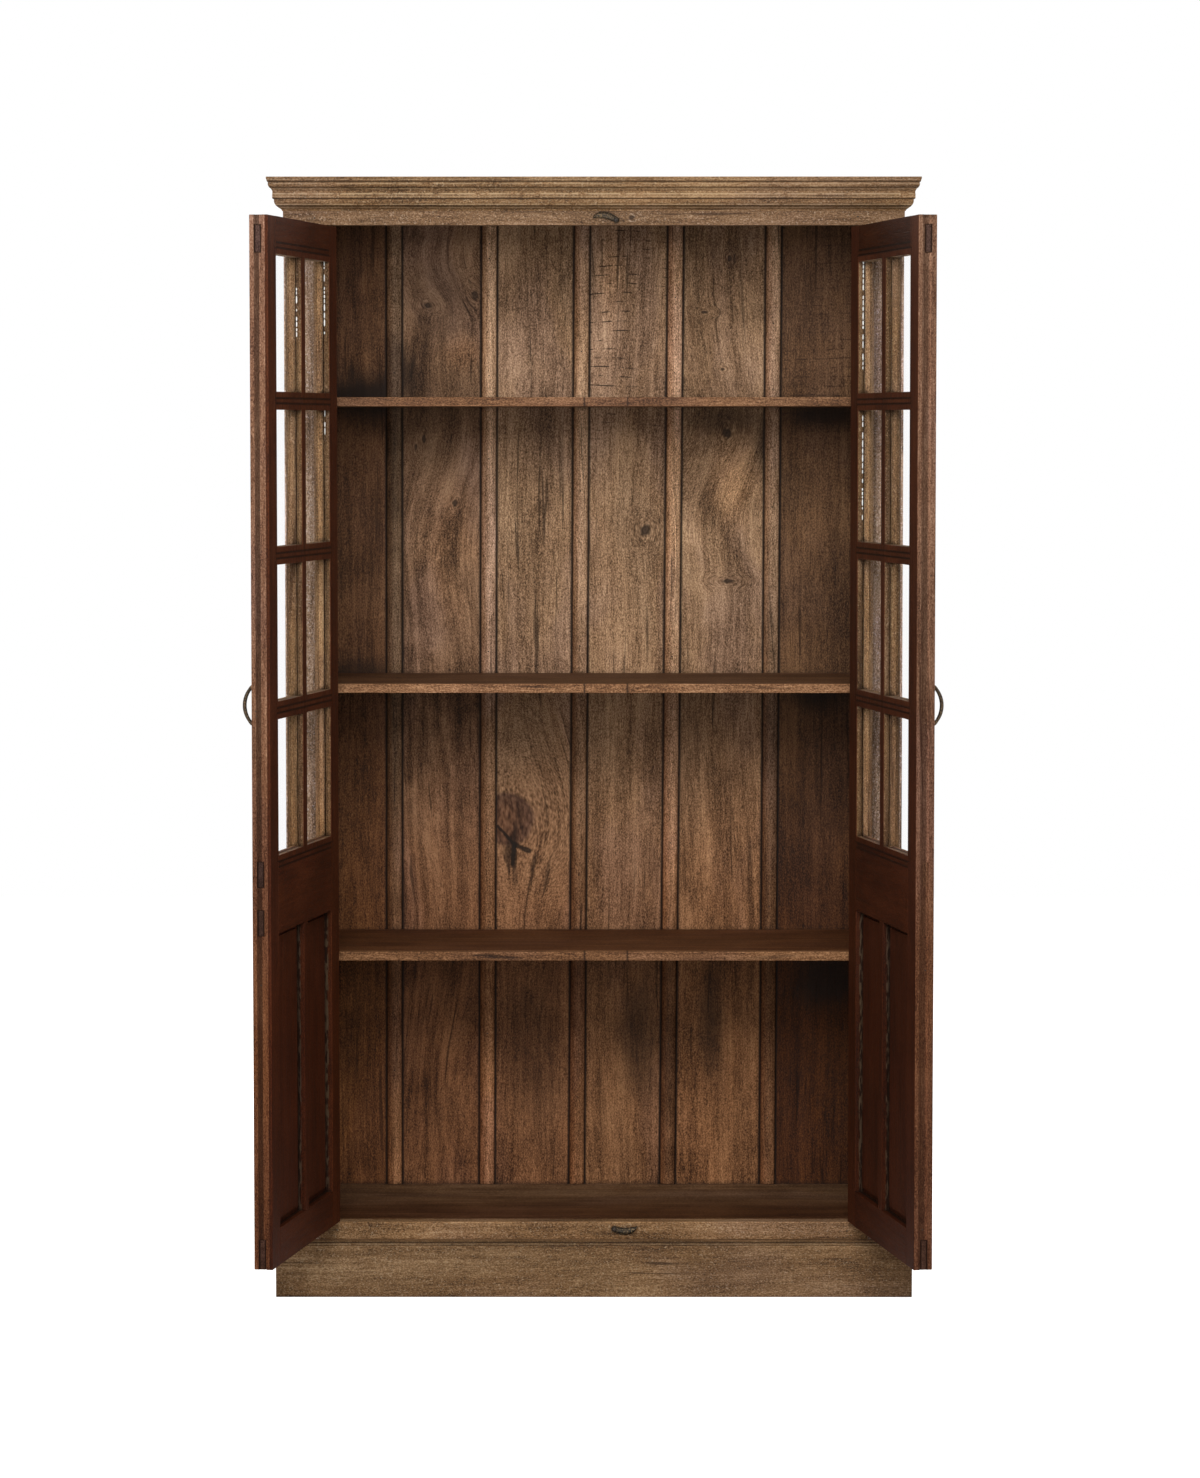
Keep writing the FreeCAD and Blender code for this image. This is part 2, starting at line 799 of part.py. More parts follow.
top_rail = cut(
    "top_rail_moulded",
    level_member("top_rail_run", "panes_head", "door_head", True, False),
    rebate("top_rail_rebate", rail_span, ("panes_head - overrun", "panes_head + level_bead_width")),
    *stiles,
)
lock_rail = cut(
    "lock_rail_moulded",
    level_member("lock_rail_run", "panels_head", "panes_foot", True, True),
    rebate("lock_rail_rebate", rail_span, ("panes_foot - level_bead_width", "panes_foot + overrun")),
    groove("lock_rail_groove", rail_span, ("panels_head - overrun", "panels_head + panel_groove_depth")),
    *stiles,
)
bottom_rail = cut(
    "door_bottom_rail_moulded",
    level_member("door_bottom_rail_run", "door_foot", "panels_foot", False, True),
    groove("door_bottom_rail_groove", rail_span, ("panels_foot - panel_groove_depth", "panels_foot + overrun")),
    *stiles,
)

# Every rail has tenons that pass right through both stiles and show on the door's edges.
tenons = {
    "top": ("panes_head + tenon_shoulder", "door_head - tenon_haunch"),
    "lock_upper": ("panes_foot - lock_tenon_drop - lock_tenon_height", "panes_foot - lock_tenon_drop"),
    "lock_lower": ("panels_head + tenon_shoulder", "panels_head + tenon_shoulder + lock_tenon_height"),
    "bottom": ("door_foot", "door_foot + bottom_tenon_height"),
}


def tenon(label, which, fit="0", past="0"):
    """A through tenon, from edge to edge of the door, or with a fit the mortises for it."""
    foot, top = tenons[which]
    return block(
        label,
        (f"hinge_edge - {past}", f"free_edge - edge_groove_depth + {past}"),
        (f"outer_face + tenon_seat - {fit}", f"outer_face + tenon_seat + tenon_thickness + {fit}"),
        (f"{foot} - {fit}", f"{top} + {fit}"),
    )


def tenoned(label, rail, *which):
    """A rail with its tenons. The groove and the rebate run on through the tenons' roots."""
    bars = [tenon(f"{label}_{name}_tenon", name) for name in which]
    return cut(
        label,
        join(label + "_whole", rail, *bars),
        groove(label + "_groove_root",
               ("sight_left - panel_groove_depth", "sight_right + panel_groove_depth"), panels_zone),
        rebate(label + "_rebate_root", panes_across, panes_zone),
    )


hang(tenoned("top_rail_tenoned", top_rail, "top"), "top_rail")
hang(tenoned("lock_rail_tenoned", lock_rail, "lock_upper", "lock_lower"), "lock_rail")
hang(tenoned("bottom_rail_tenoned", bottom_rail, "bottom"), "bottom_rail")

mortises = [tenon(f"{name}_mortise", name, "tenon_fit", "overrun") for name in tenons]
door_recesses = [
    hinge_recess(f"door_{place}_recess",
                 ("-overrun", "hinge_leaf_thickness + hinge_knuckle_gap / 2"), "0", place)
    for place in hinge_places
]
hang(cut("hinge_stile_finished", hinge_stile, *mortises, *door_recesses), "hinge_stile")
edge_groove = block(
    "edge_groove",
    ("free_edge - edge_groove_depth", "free_edge + overrun"),
    ("outer_face + (door_thickness - edge_groove_width) / 2",
     "outer_face + (door_thickness + edge_groove_width) / 2"),
    ("door_foot - overrun", "door_head + overrun"),
)
hang(cut("meeting_stile_finished", meeting_stile, *mortises, edge_groove), "meeting_stile")

# One upright glazing bar runs between the rails. The level bars are coped to it and to the
# stiles in short lengths. Behind the rebate each bar narrows to its core.
upright_low = "sight_middle - upright_bar / 2"
upright_high = "sight_middle + upright_bar / 2"
upright_bar = cut(
    "upright_bar_coped",
    moulded("upright_bar_run", "XY_Plane",
            member_outline(upright_low, upright_high, True, True), *panes_zone),
    rebate("upright_bar_left_rebate", (f"{upright_low} - overrun", f"{upright_low} + side_bead_width"),
           panes_zone),
    rebate("upright_bar_right_rebate", (f"{upright_high} - side_bead_width", f"{upright_high} + overrun"),
           panes_zone),
    top_rail,
    lock_rail,
)
level_bars = []
for row in range(1, pane_rows):
    low = f"panes_foot + pane_height * {row} + level_bar * {row - 1}"
    high = f"{low} + level_bar"
    bar = level_member(f"level_bar_{row}_run", low, high, True, True)
    level_bars.append(cut(
        f"level_bar_{row}_coped",
        bar,
        rebate(f"level_bar_{row}_lower_rebate", rail_span, (f"{low} - overrun", f"{low} + level_bead_width")),
        rebate(f"level_bar_{row}_upper_rebate", rail_span, (f"{high} - level_bead_width", f"{high} + overrun")),
        *stiles,
        upright_bar,
    ))
hang(group("glazing_bar_set", upright_bar, *level_bars), "glazing_bars")

# Each pane lies in its rebate and is held by four pinned beads, mitred at the corners.
panes = []
beads = []
for column in range(pane_columns):
    for row in range(pane_rows):
        left = f"(sight_left + (pane_width + upright_bar) * {column})"
        foot = f"(panes_foot + (pane_height + level_bar) * {row})"
        right = f"({left} + pane_width)"
        head = f"({foot} + pane_height)"
        spot = f"{column}_{row}"
        panes.append(block(
            f"pane_{spot}",
            (f"{left} - side_bead_width + glass_play", f"{right} + side_bead_width - glass_play"),
            ("glass_face", "bead_face"),
            (f"{foot} - level_bead_width + glass_play", f"{head} + level_bead_width - glass_play"),
        ))
        outer = (f"{left} - side_bead_width", f"{right} + side_bead_width",
                 f"{foot} - level_bead_width", f"{head} + level_bead_width")
        corners = {
            "foot": ((outer[0], outer[2]), (outer[1], outer[2]), (right, foot), (left, foot)),
            "right": ((outer[1], outer[2]), (outer[1], outer[3]), (right, head), (right, foot)),
            "head": ((outer[1], outer[3]), (outer[0], outer[3]), (left, head), (right, head)),
            "left": ((outer[0], outer[3]), (outer[0], outer[2]), (left, foot), (left, head)),
        }
        for edge, points in corners.items():
            beads.append(moulded(f"bead_{spot}_{edge}", "XZ_Plane", points,
                                 "bead_face", "inner_face", backwards=True))
hang(group("pane_set", *panes), "glass_panes")
hang(group("bead_set", *beads), "glazing_beads")

# The mullion divides the lower part, its ends coped and stubbed into the rails' grooves.
mullion = cut(
    "mullion_coped",
    moulded("mullion_run", "XY_Plane",
            member_outline(upright_low, upright_high, True, True), *panels_zone),
    groove("mullion_left_groove", (f"{upright_low} - overrun", f"{upright_low} + panel_groove_depth"),
           panels_zone),
    groove("mullion_right_groove", (f"{upright_high} - panel_groove_depth", f"{upright_high} + overrun"),
           panels_zone),
    lock_rail,
    bottom_rail,
)
hang(mullion, "mullion")


def field(label, left, right, near, far):
    """The raised middle of a panel, from its tongue to one face."""
    return block(
        label,
        (f"{left} + panel_field_margin", f"{right} - panel_field_margin"),
        (near, far),
        ("panels_foot + panel_field_margin", "panels_head - panel_field_margin"),
    )


def door_panel(label, left, right):
    """A panel whose edges are thinned to a tongue, which floats in the grooves."""
    tongue_front = "groove_front + panel_play"
    tongue_back = "groove_front + panel_groove_width - panel_play"
    tongue = block(
        label + "_tongue",
        (f"{left} - panel_groove_depth + fit_gap", f"{right} + panel_groove_depth - fit_gap"),
        (tongue_front, tongue_back),
        ("panels_foot - panel_groove_depth + fit_gap", "panels_head + panel_groove_depth - fit_gap"),
    )
    raised = field(label + "_field", left, right, f"{tongue_front} - panel_field_rise",
                   f"{tongue_back} + panel_field_rise")
    return join(label, tongue, raised)


hang(
    group(
        "door_panel_set",
        door_panel("hinge_side_panel", "sight_left", upright_low),
        door_panel("meeting_side_panel", upright_high, "sight_right"),
    ),
    "panels",
)

# The pull is a cast bow on a pointed plate, screwed to the outside of the meeting stile.
pull_sizes = {
    "pull_height": 1088,
    "pull_plate_height": 108,
    "pull_plate_width": 34,
    "pull_plate_thickness": 3,
    "pull_bow_reach": 22.3,
    "pull_bow_radius": 45,
    "pull_rod_radius": 3,
    "pull_plate_waist": 16,
    "pull_rod_shoulder_share": 0.4142,
    "pull_place": "=free_edge - door_stile_width / 2",
    "pull_bow_centre": "=outer_face - pull_bow_reach + pull_bow_radius",
}
sizes("Pulls", pull_sizes)
lobe_share = 0.3  # the bulge of the plate's lobes
waist_share = 0.35  # the bulge of the hollows between them
tip_height = "pull_plate_height / 2"
tip_side = "pull_plate_width / 2"
waist_side = "pull_plate_waist / 2"
pull_plate = moulded(
    "pull_plate", "XZ_Plane",
    [
        ("pull_place", f"pull_height - {tip_height}", lobe_share),
        (f"pull_place + {tip_side}", f"pull_height - {tip_height} / 2", lobe_share),
        (f"pull_place + {waist_side}", "pull_height", -waist_share),
        (f"pull_place + {tip_side}", f"pull_height + {tip_height} / 2", -waist_share),
        ("pull_place", f"pull_height + {tip_height}", lobe_share),
        (f"pull_place - {tip_side}", f"pull_height + {tip_height} / 2", lobe_share),
        (f"pull_place - {waist_side}", "pull_height", -waist_share),
        (f"pull_place - {tip_side}", f"pull_height - {tip_height} / 2", -waist_share),
    ],
    "outer_face - pull_plate_thickness", "outer_face", backwards=True,
)
rod_centre = "(pull_rod_radius - pull_bow_radius)"
rod_side = "pull_rod_radius"
rod_shoulder = "pull_rod_radius * pull_rod_shoulder_share"
bow_ring = doc.addObject("PartDesign::Body", "pull_bow_ring")
bow_turn = bow_ring.newObject("PartDesign::Revolution", "pull_bow_turned")
bow_turn.Profile = outline(bow_ring, "XY_Plane", [
    (f"-{rod_shoulder}", f"{rod_centre} - {rod_side}"),
    (rod_shoulder, f"{rod_centre} - {rod_side}"),
    (rod_side, f"{rod_centre} - {rod_shoulder}"),
    (rod_side, f"{rod_centre} + {rod_shoulder}"),
    (rod_shoulder, f"{rod_centre} + {rod_side}"),
    (f"-{rod_shoulder}", f"{rod_centre} + {rod_side}"),
    (f"-{rod_side}", f"{rod_centre} + {rod_shoulder}"),
    (f"-{rod_side}", f"{rod_centre} - {rod_shoulder}"),
])
bow_turn.ReferenceAxis = (bow_turn.Profile[0], ["H_Axis"])
bow_turn.Angle = 360
bow_ring.Tip = bow_turn
bind(bow_ring, "Placement.Base.x", "pull_place")
bind(bow_ring, "Placement.Base.y", "pull_bow_centre")
bind(bow_ring, "Placement.Base.z", "pull_height")
bow_space = block(
    "pull_bow_space",
    (f"pull_place - {tip_side}", f"pull_place + {tip_side}"),
    ("outer_face - pull_bow_reach - overrun", "outer_face - pull_plate_thickness / 2"),
    ("pull_height - pull_bow_radius - overrun", "pull_height + pull_bow_radius + overrun"),
)
bow = doc.addObject("Part::Common", "pull_bow")
bow.Base = bow_ring
bow.Tool = bow_space
hang(join("pull", pull_plate, bow), "pull")

# Three butt hinges carry each door. The leaves are let into the door's edge and the stile, and
# three knuckles share a loose pin with a tip at both ends. The barrel is drawn with flat sides.


def barrel(label, radius, foot, height):
    """A length of the hinge's barrel or pin, on the hinge's own axis."""
    bar = doc.addObject("Part::Prism", label)
    bind(bar, "Polygon", "hinge_sides")
    bind(bar, "Circumradius", radius)
    bind(bar, "Height", height)
    bind(bar, "Placement.Base.z", foot)
    return bar


def leaf(label, place, towards, knuckles):
    """One leaf: its plate, and the knuckles it carries with the tabs that join them."""
    foot = f"({place} - hinge_height / 2)"
    near, far = f"{towards} * hinge_knuckle_gap / 2", f"{towards} * hinge_leaf_thickness"
    across = (near, far) if towards > 0 else (far, near)
    parts = [block(label + "_plate", across, ("hinge_pin_stand", "hinge_leaf_depth"),
                   (foot, f"{foot} + hinge_height"))]
    for number in knuckles:
        low = f"{foot} + knuckle_length * {number} + hinge_knuckle_gap / 2"
        high = f"{foot} + knuckle_length * {number + 1} - hinge_knuckle_gap / 2"
        parts.append(block(f"{label}_tab_{number}", across, ("0", "hinge_pin_stand"), (low, high)))
        parts.append(barrel(f"{label}_knuckle_{number}", "hinge_knuckle_radius", low,
                            "knuckle_length - hinge_knuckle_gap"))
    bore = barrel(label + "_bore", "(hinge_pin_radius + hinge_pin_fit) / cos(180 / hinge_sides)",
                  f"{foot} - overrun", "hinge_height + 2 * overrun")
    return cut(label, join(label + "_solid", *parts), bore)


def pin(label, place):
    """A hinge pin with a tip above and below the knuckles."""
    foot = f"({place} - hinge_height / 2)"
    return join(
        label,
        barrel(label + "_rod", "hinge_pin_radius", foot, "hinge_height"),
        barrel(label + "_lower_tip", "hinge_tip_radius", f"{foot} - hinge_tip_height", "hinge_tip_height"),
        barrel(label + "_upper_tip", "hinge_tip_radius", f"{foot} + hinge_height", "hinge_tip_height"),
    )


def on_stile(piece):
    """Place a fixed part of a hinge on the left stile's pin line."""
    bind(piece, "Placement.Base.x", "-pin_place")
    bind(piece, "Placement.Base.y", "-hinge_pin_stand")
    return piece


fixed_leaves = [leaf(f"fixed_{place}_leaf", place, -1, (0, 2)) for place in hinge_places]
pins = [pin(f"{place}_pin", place) for place in hinge_places]
moving_leaves = [leaf(f"moving_{place}_leaf", place, 1, (1,)) for place in hinge_places]
left_fixed = on_stile(group("left_fixed_leaves", *fixed_leaves))
left_pins = on_stile(group("left_pins", *pins))
keep(group("fixed_leaf_set", left_fixed, mirrored("right_fixed_leaves", left_fixed)), "hinge_stile_leaves")
keep(group("pin_set", left_pins, mirrored("right_pins", left_pins)), "hinge_pins")
hang(group("moving_leaf_set", *moving_leaves), "hinge_leaves")

# Two cast turn buttons, shaped like a curled leaf, pivot on round-headed screws: one under the
# cornice, one above the plinth. Turned across the gap, they hold the closed doors.


head_share = 0.9  # the bulges of the button's rounded head, its belly and its hollow back
belly_share = 0.47
back_share = 0.2
dome_share = 0.35  # the bulge of a screw's head


def turn_button(label, place, height, angle):
    """A turn button lying flat on the face frame, with a hole for its screw."""
    body = moulded(label + "_leaf", "XZ_Plane", [
        ("0", "-button_head_radius", head_share),
        ("button_reach", "button_tip_rise", belly_share),
        ("0", "button_head_radius", -back_share),
    ], "-button_stand - button_thickness", "-button_stand", backwards=True)
    hole = doc.addObject("Part::Cylinder", label + "_hole")
    bind(hole, "Radius", "screw_radius + screw_fit")
    bind(hole, "Height", "button_thickness + 2 * overrun")
    hole.Placement = Placement(Vector(0, 0, 0), Rotation(Vector(1, 0, 0), 90))
    bind(hole, "Placement.Base.y", "overrun - button_stand")
    button = cut(label + "_drilled", body, hole)
    button.Placement = Placement(Vector(0, 0, 0), Rotation(Vector(0, -1, 0), 1))
    bind(button, "Placement.Rotation.Angle", angle)
    bind(button, "Placement.Base.x", place)
    bind(button, "Placement.Base.z", height)
    keep(button, label)


turn_button("top_turn_button", "top_button_place", "top_button_height", "top_button_angle")
turn_button("bottom_turn_button", "bottom_button_place", "bottom_button_height", "bottom_button_angle")


def button_screw(label, place, height):
    """A round-headed screw whose head just clears the button that turns on it."""
    body = doc.addObject("PartDesign::Body", label)
    seat = "-2 * button_stand - button_thickness"
    sketch = outline(body, "XY_Plane", [
        ("0", "screw_grip"),
        ("0", f"{seat} - screw_head_height"),
        ("screw_head_radius", seat, dome_share),
        ("screw_radius", seat),
        ("screw_radius", "screw_grip"),
    ])
    turned = body.newObject("PartDesign::Revolution", label + "_turned")
    turned.Profile = sketch
    turned.ReferenceAxis = (sketch, ["V_Axis"])
    turned.Angle = 360
    body.Tip = turned
    bind(body, "Placement.Base.x", place)
    bind(body, "Placement.Base.z", height)
    return body


keep(
    group("screw_pair",
          button_screw("top_screw", "top_button_place", "top_button_height"),
          button_screw("bottom_screw", "bottom_button_place", "bottom_button_height")),
    "turn_button_screws",
)

doc.recompute()
for item in doc.Objects:
    if {"Invalid", "Error"} & set(item.State):
        raise RuntimeError(f"{item.Label} could not be built: {item.State}")
for piece in kept:
    if piece.Shape.isNull() or not piece.Shape.isValid() or not piece.Shape.Solids:
        raise RuntimeError(f"{piece.Label} has no valid shape")
os.makedirs("parts", exist_ok=True)
for piece in kept:
    piece.Shape.exportStep(f"parts/{piece.Label}.step")
print(len(kept), "pieces")
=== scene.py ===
import math
import random

import bmesh
import bpy
from mathutils import Matrix, Vector


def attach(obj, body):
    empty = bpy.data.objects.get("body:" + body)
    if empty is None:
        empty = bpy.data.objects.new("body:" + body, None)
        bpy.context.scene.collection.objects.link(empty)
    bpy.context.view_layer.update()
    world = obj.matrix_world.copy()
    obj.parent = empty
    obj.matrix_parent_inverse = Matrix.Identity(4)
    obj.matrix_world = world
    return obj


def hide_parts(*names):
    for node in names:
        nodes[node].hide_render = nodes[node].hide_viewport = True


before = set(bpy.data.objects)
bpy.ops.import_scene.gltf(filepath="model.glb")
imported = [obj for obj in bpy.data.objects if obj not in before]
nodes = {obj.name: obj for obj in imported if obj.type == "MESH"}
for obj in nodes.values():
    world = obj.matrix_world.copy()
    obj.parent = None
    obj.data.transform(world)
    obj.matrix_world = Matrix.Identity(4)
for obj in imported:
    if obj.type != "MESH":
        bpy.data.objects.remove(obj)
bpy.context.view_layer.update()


# Studio. The cabinet stands on a plain pale floor in front of a white surround. Large soft
# lamps hang before it, above and to the sides, as in a photographer's studio.
class Wire:
    """A socket of a node tree. Sums and products of wires lay their own Math nodes."""

    def __init__(self, tree, socket=None):
        self.tree = tree
        self.socket = socket

    def add(self, kind, sockets=None, settings=None, out=0):
        """Adds a node, its settings first, then the values or wires of its sockets."""
        made = self.tree.nodes.new("ShaderNode" + kind)
        for name, value in (settings or {}).items():
            if name == "stops":
                for stop in list(made.color_ramp.elements)[2:]:
                    made.color_ramp.elements.remove(stop)
                while len(made.color_ramp.elements) < len(value):
                    made.color_ramp.elements.new(0.5)
                for stop, (position, colour) in zip(made.color_ramp.elements, value):
                    stop.position = position
                    stop.color = (*colour, 1.0)
            else:
                setattr(made, name, value)
        for name, value in (sockets or {}).items():
            socket = made.inputs[name]
            if isinstance(value, Wire):
                self.tree.links.new(value.socket, socket)
            else:
                socket.default_value = (*value, 1.0) if socket.type == "RGBA" else value
        return Wire(self.tree, made.outputs[out] if len(made.outputs) else None)

    def __abs__(self):
        return self.reckon("ABSOLUTE")

    def reckon(self, operation, other=0.0):
        """This number and another put together by a Math node."""
        return self.add("Math", {0: self, 1: other}, {"operation": operation})

    def __add__(self, other):
        return self.reckon("ADD", other)

    __radd__ = __add__

    def __sub__(self, other):
        return self.reckon("SUBTRACT", other)

    def __rsub__(self, other):
        return self * -1.0 + other

    def __mul__(self, other):
        return self.reckon("MULTIPLY", other)

    __rmul__ = __mul__

    def between(self, low, high):
        """Nothing at low, one at high, smoothly between."""
        ends = {"Value": self, "From Min": low, "From Max": high}
        return self.add("MapRange", ends, {"interpolation_type": "SMOOTHSTEP"})

    def moved(self, operation, other, out="Vector"):
        """This place and another put together by a Vector Math node."""
        return self.add("VectorMath", {0: self, 1: other}, {"operation": operation}, out)

    def length(self):
        """How long this vector is."""
        return self.moved("LENGTH", (0.0, 0.0, 0.0), "Value")

    def times(self, vector):
        """A vector, this number of times over."""
        return self.add("VectorMath", {0: vector, "Scale": self}, {"operation": "SCALE"})

    def part(self, axis):
        """One coordinate of this place."""
        return self.add("SeparateXYZ", {0: self}, out=axis)

    def mixed(self, first, second, way="MIX"):
        """The colour first where this wire is nothing, and second where it is one."""
        settings = {"data_type": "RGBA", "blend_type": way}
        return self.add("Mix", {0: self, 6: first, 7: second}, settings, 2)

    def multiplied(self, other):
        """This colour times another all over."""
        settings = {"data_type": "RGBA", "blend_type": "MULTIPLY"}
        return self.add("Mix", {0: 1.0, 6: self, 7: other}, settings, 2)


def cleared(name):
    """A new material, still without nodes."""
    material = bpy.data.materials.new(name)
    material.use_nodes = True
    material.node_tree.nodes.clear()
    return material


def listed(name, data):
    """A new object of the scene."""
    made = bpy.data.objects.new(name, data)
    bpy.context.scene.collection.objects.link(made)
    return made


white = (1.0, 1.0, 1.0)
ambient_strength = 0.17
ambient_tint = (0.97, 0.98, 1.0)
world = bpy.data.worlds.new("studio")
bpy.context.scene.world = world
world.use_nodes = True
world.node_tree.nodes.clear()
air = Wire(world.node_tree)


def looked_through(wire):
    """One for a ray that shows the surround: to the eye, in a reflection or through glass."""
    shown = wire.add("LightPath", out="Is Camera Ray")
    for way in ("Is Transmission Ray", "Is Glossy Ray"):
        shown = shown.reckon("MAXIMUM", wire.add("LightPath", out=way))
    return shown


surround = {
    0: looked_through(air),
    1: air.add("Background", {"Color": ambient_tint, "Strength": ambient_strength}),
    2: air.add("Background", {"Color": white, "Strength": 1.0}),
}
air.add("OutputWorld", {"Surface": air.add("MixShader", surround)})

floor_span = 14.0
floor_glow = 0.90
floor_grey = (0.42, 0.42, 0.42)
floor_mesh = bmesh.new()
bmesh.ops.create_grid(floor_mesh, x_segments=1, y_segments=1, size=floor_span / 2)
floor_data = bpy.data.meshes.new("studio_floor")
floor_mesh.to_mesh(floor_data)
floor_mesh.free()
floor = listed("studio_floor", floor_data)
pale = cleared("studio_floor")
ground = Wire(pale.node_tree)
looked_at = looked_through(ground)
glowing = {
    0: ground.add("BsdfDiffuse", {"Color": looked_at.mixed(floor_grey, white)}),
    1: ground.add("Emission", {"Color": white, "Strength": looked_at * floor_glow}),
}
ground.add("OutputMaterial", {"Surface": ground.add("AddShader", glowing)})
floor.data.materials.append(pale)

camera_lens, camera_sensor = 111.5, 36.0
camera_place = (0.0223, -8.1543, 1.5545)
camera_dip, camera_roll = 0.0675, 0.0014
camera_data = bpy.data.cameras.new("camera")
camera_data.sensor_width = camera_sensor
camera_data.lens = camera_lens
camera = listed("camera", camera_data)
camera.location = camera_place
camera.rotation_euler = (math.pi / 2 - camera_dip, 0.0, camera_roll)
bpy.context.scene.camera = camera


def softbox(name, place, aim, width, height, watts):
    """A flat lamp of that size that looks at aim."""
    data = bpy.data.lights.new(name, "AREA")
    data.shape = "RECTANGLE"
    data.size = width
    data.size_y = height
    data.energy = watts
    lamp = listed(name, data)
    lamp.visible_camera = False
    lamp.location = place
    lamp.rotation_euler = (Vector(aim) - Vector(place)).to_track_quat("-Z", "Y").to_euler()


softbox("key_lamp", (-0.35, -3.0, 2.6), (0.0, 0.1, 1.35), 2.4, 1.4, 92.0)
softbox("fill_lamp", (0.0, -6.0, 1.6), (0.0, 0.1, 1.2), 2.6, 2.0, 62.0)
softbox("left_rear_lamp", (-3.4, 2.6, 2.3), (0.0, 0.3, 1.0), 2.2, 2.2, 90.0)
softbox("right_rear_lamp", (3.4, 2.6, 2.3), (0.0, 0.3, 1.0), 2.2, 2.2, 90.0)
bpy.context.scene.view_settings.view_transform = "Standard"


# Face frame, cornice and plinth: sawn hardwood, tenoned and mitred, that was limed and then
# rubbed back. Pale pigment stays in the grain, corners carry painted shade, arrises are worn.
def across(along, fine, coarse):
    """A stretch for a pattern: coarse along the grain's axis and fine across it."""
    return tuple(coarse if axis == along else fine for axis in "XYZ")


def cloud(place, stretch, detail=2.0, swirl=0.0, out="Fac"):
    """Soft noise about 0.5, stretched by one number or three."""
    where = place.moved("MULTIPLY", stretch if isinstance(stretch, tuple) else (stretch,) * 3)
    sockets = {"Vector": where, "Scale": 1.0, "Detail": detail, "Distortion": swirl}
    return place.add("TexNoise", sockets, out=out)


def around(place, spot, reach):
    """Nothing at a spot of the piece, and one at its reach, three numbers."""
    shares = tuple(1.0 / size for size in reach)
    return place.moved("SUBTRACT", spot).moved("MULTIPLY", shares).length()


def tinted(colour, strength):
    """A colour, so many times as strong."""
    return tuple(part * strength for part in colour)


def placed(material, seat=None):
    """Object coordinates in a cleared material, turned to the seat of a hung piece."""
    place = Wire(material.node_tree).add("TexCoord", out="Object")
    if seat:
        location, turn, side = seat
        sockets = {"Location": location, "Rotation": (0.0, 0.0, turn), "Scale": (side, 1.0, 1.0)}
        place = place.add("Mapping", dict(sockets, Vector=place), {"vector_type": "TEXTURE"})
    return place


def surfaced(place, sockets):
    """Ends a material in a surface with those sockets."""
    surface = place.add("BsdfPrincipled", sockets)
    place.add("OutputMaterial", {"Surface": surface})


def grown(place, along, shift, waver, knots, sweeps):
    """Coordinates that run with the grain, which wavers, sweeps aside and parts round knots."""
    with_grain = place.moved("ADD", shift)
    drift = cloud(with_grain, across(along, 5.0, 1.6), 1.0, out="Color")
    drift = drift.moved("SUBTRACT", (0.5, 0.5, 0.5)).moved("MULTIPLY", across(along, waver, 0.0))
    result = with_grain.moved("ADD", drift)
    for spot, reach in knots:
        near = around(place, spot, tuple(3.2 * size for size in reach))
        parting = (near * near * -1.0).reckon("EXPONENT") * -0.75
        result = result.moved("ADD", parting.times(place.moved("SUBTRACT", spot)))
    for height, reach, lean in sweeps:
        climb = place.part("Z") - height
        fade = climb * (1.0 / reach)
        sideways = climb * (fade * fade * -1.0).reckon("EXPONENT")
        result = result.moved("ADD", sideways.times((-lean, 0.0, 0.0)))
    return result


def figured(grain, along, rings, wild, coarse):
    """How light the wood is, about 0.5, with its fibre: rings, curl, streaks, fibre and specks."""
    field = cloud(grain, across(along, 6.5, 0.55), 1.5, 0.3)
    rough_edge = cloud(grain, across(along, 60.0, 5.0), 3.0) * 0.5
    ring = (field * rings + rough_edge).reckon("PINGPONG", 0.5) * 2.0
    curl = cloud(grain, across(along, 11.0, 6.0), 5.0, 0.6)
    streak = cloud(grain, across(along, 120.0, 4.5), 3.0)
    fibre = cloud(grain, across(along, 400.0, 34.0), 3.0)
    speck = cloud(grain, across(along, 600.0, 300.0), 1.0)
    light = (
        (ring - 0.5) * (0.09 * wild) + (curl - 0.5) * (0.42 * wild) + (streak - 0.5) * 0.36
        + (fibre - 0.5) * (0.62 * coarse) + (speck - 0.5) * (1.15 * coarse) + 0.5
    )
    return light, fibre, speck


def shaded(light, colours, strength=1.0):
    """The colour of wood that is so light: a dark, a brown, a middle, a light and a pale one."""
    levels = (0.20, 0.36, 0.50, 0.64, 0.84)
    stops = [(level, tinted(colour, strength)) for level, colour in zip(levels, colours)]
    return light.add("ValToRGB", {0: light}, {"stops": stops})


def cracked(place, start, end, half):
    """One in a dark crack from start to end, so wide to each side."""
    run = Vector(end) - Vector(start)
    way = place.moved("SUBTRACT", start)
    share = way.moved("DOT_PRODUCT", tuple(run / run.length_squared), "Value")
    share = share.reckon("MAXIMUM", 0.0).reckon("MINIMUM", 1.0)
    apart = way.moved("SUBTRACT", share.times(tuple(run))).length()
    return (apart + (cloud(place, 140.0, 2.0) - 0.5) * half).between(half, half * 0.4)


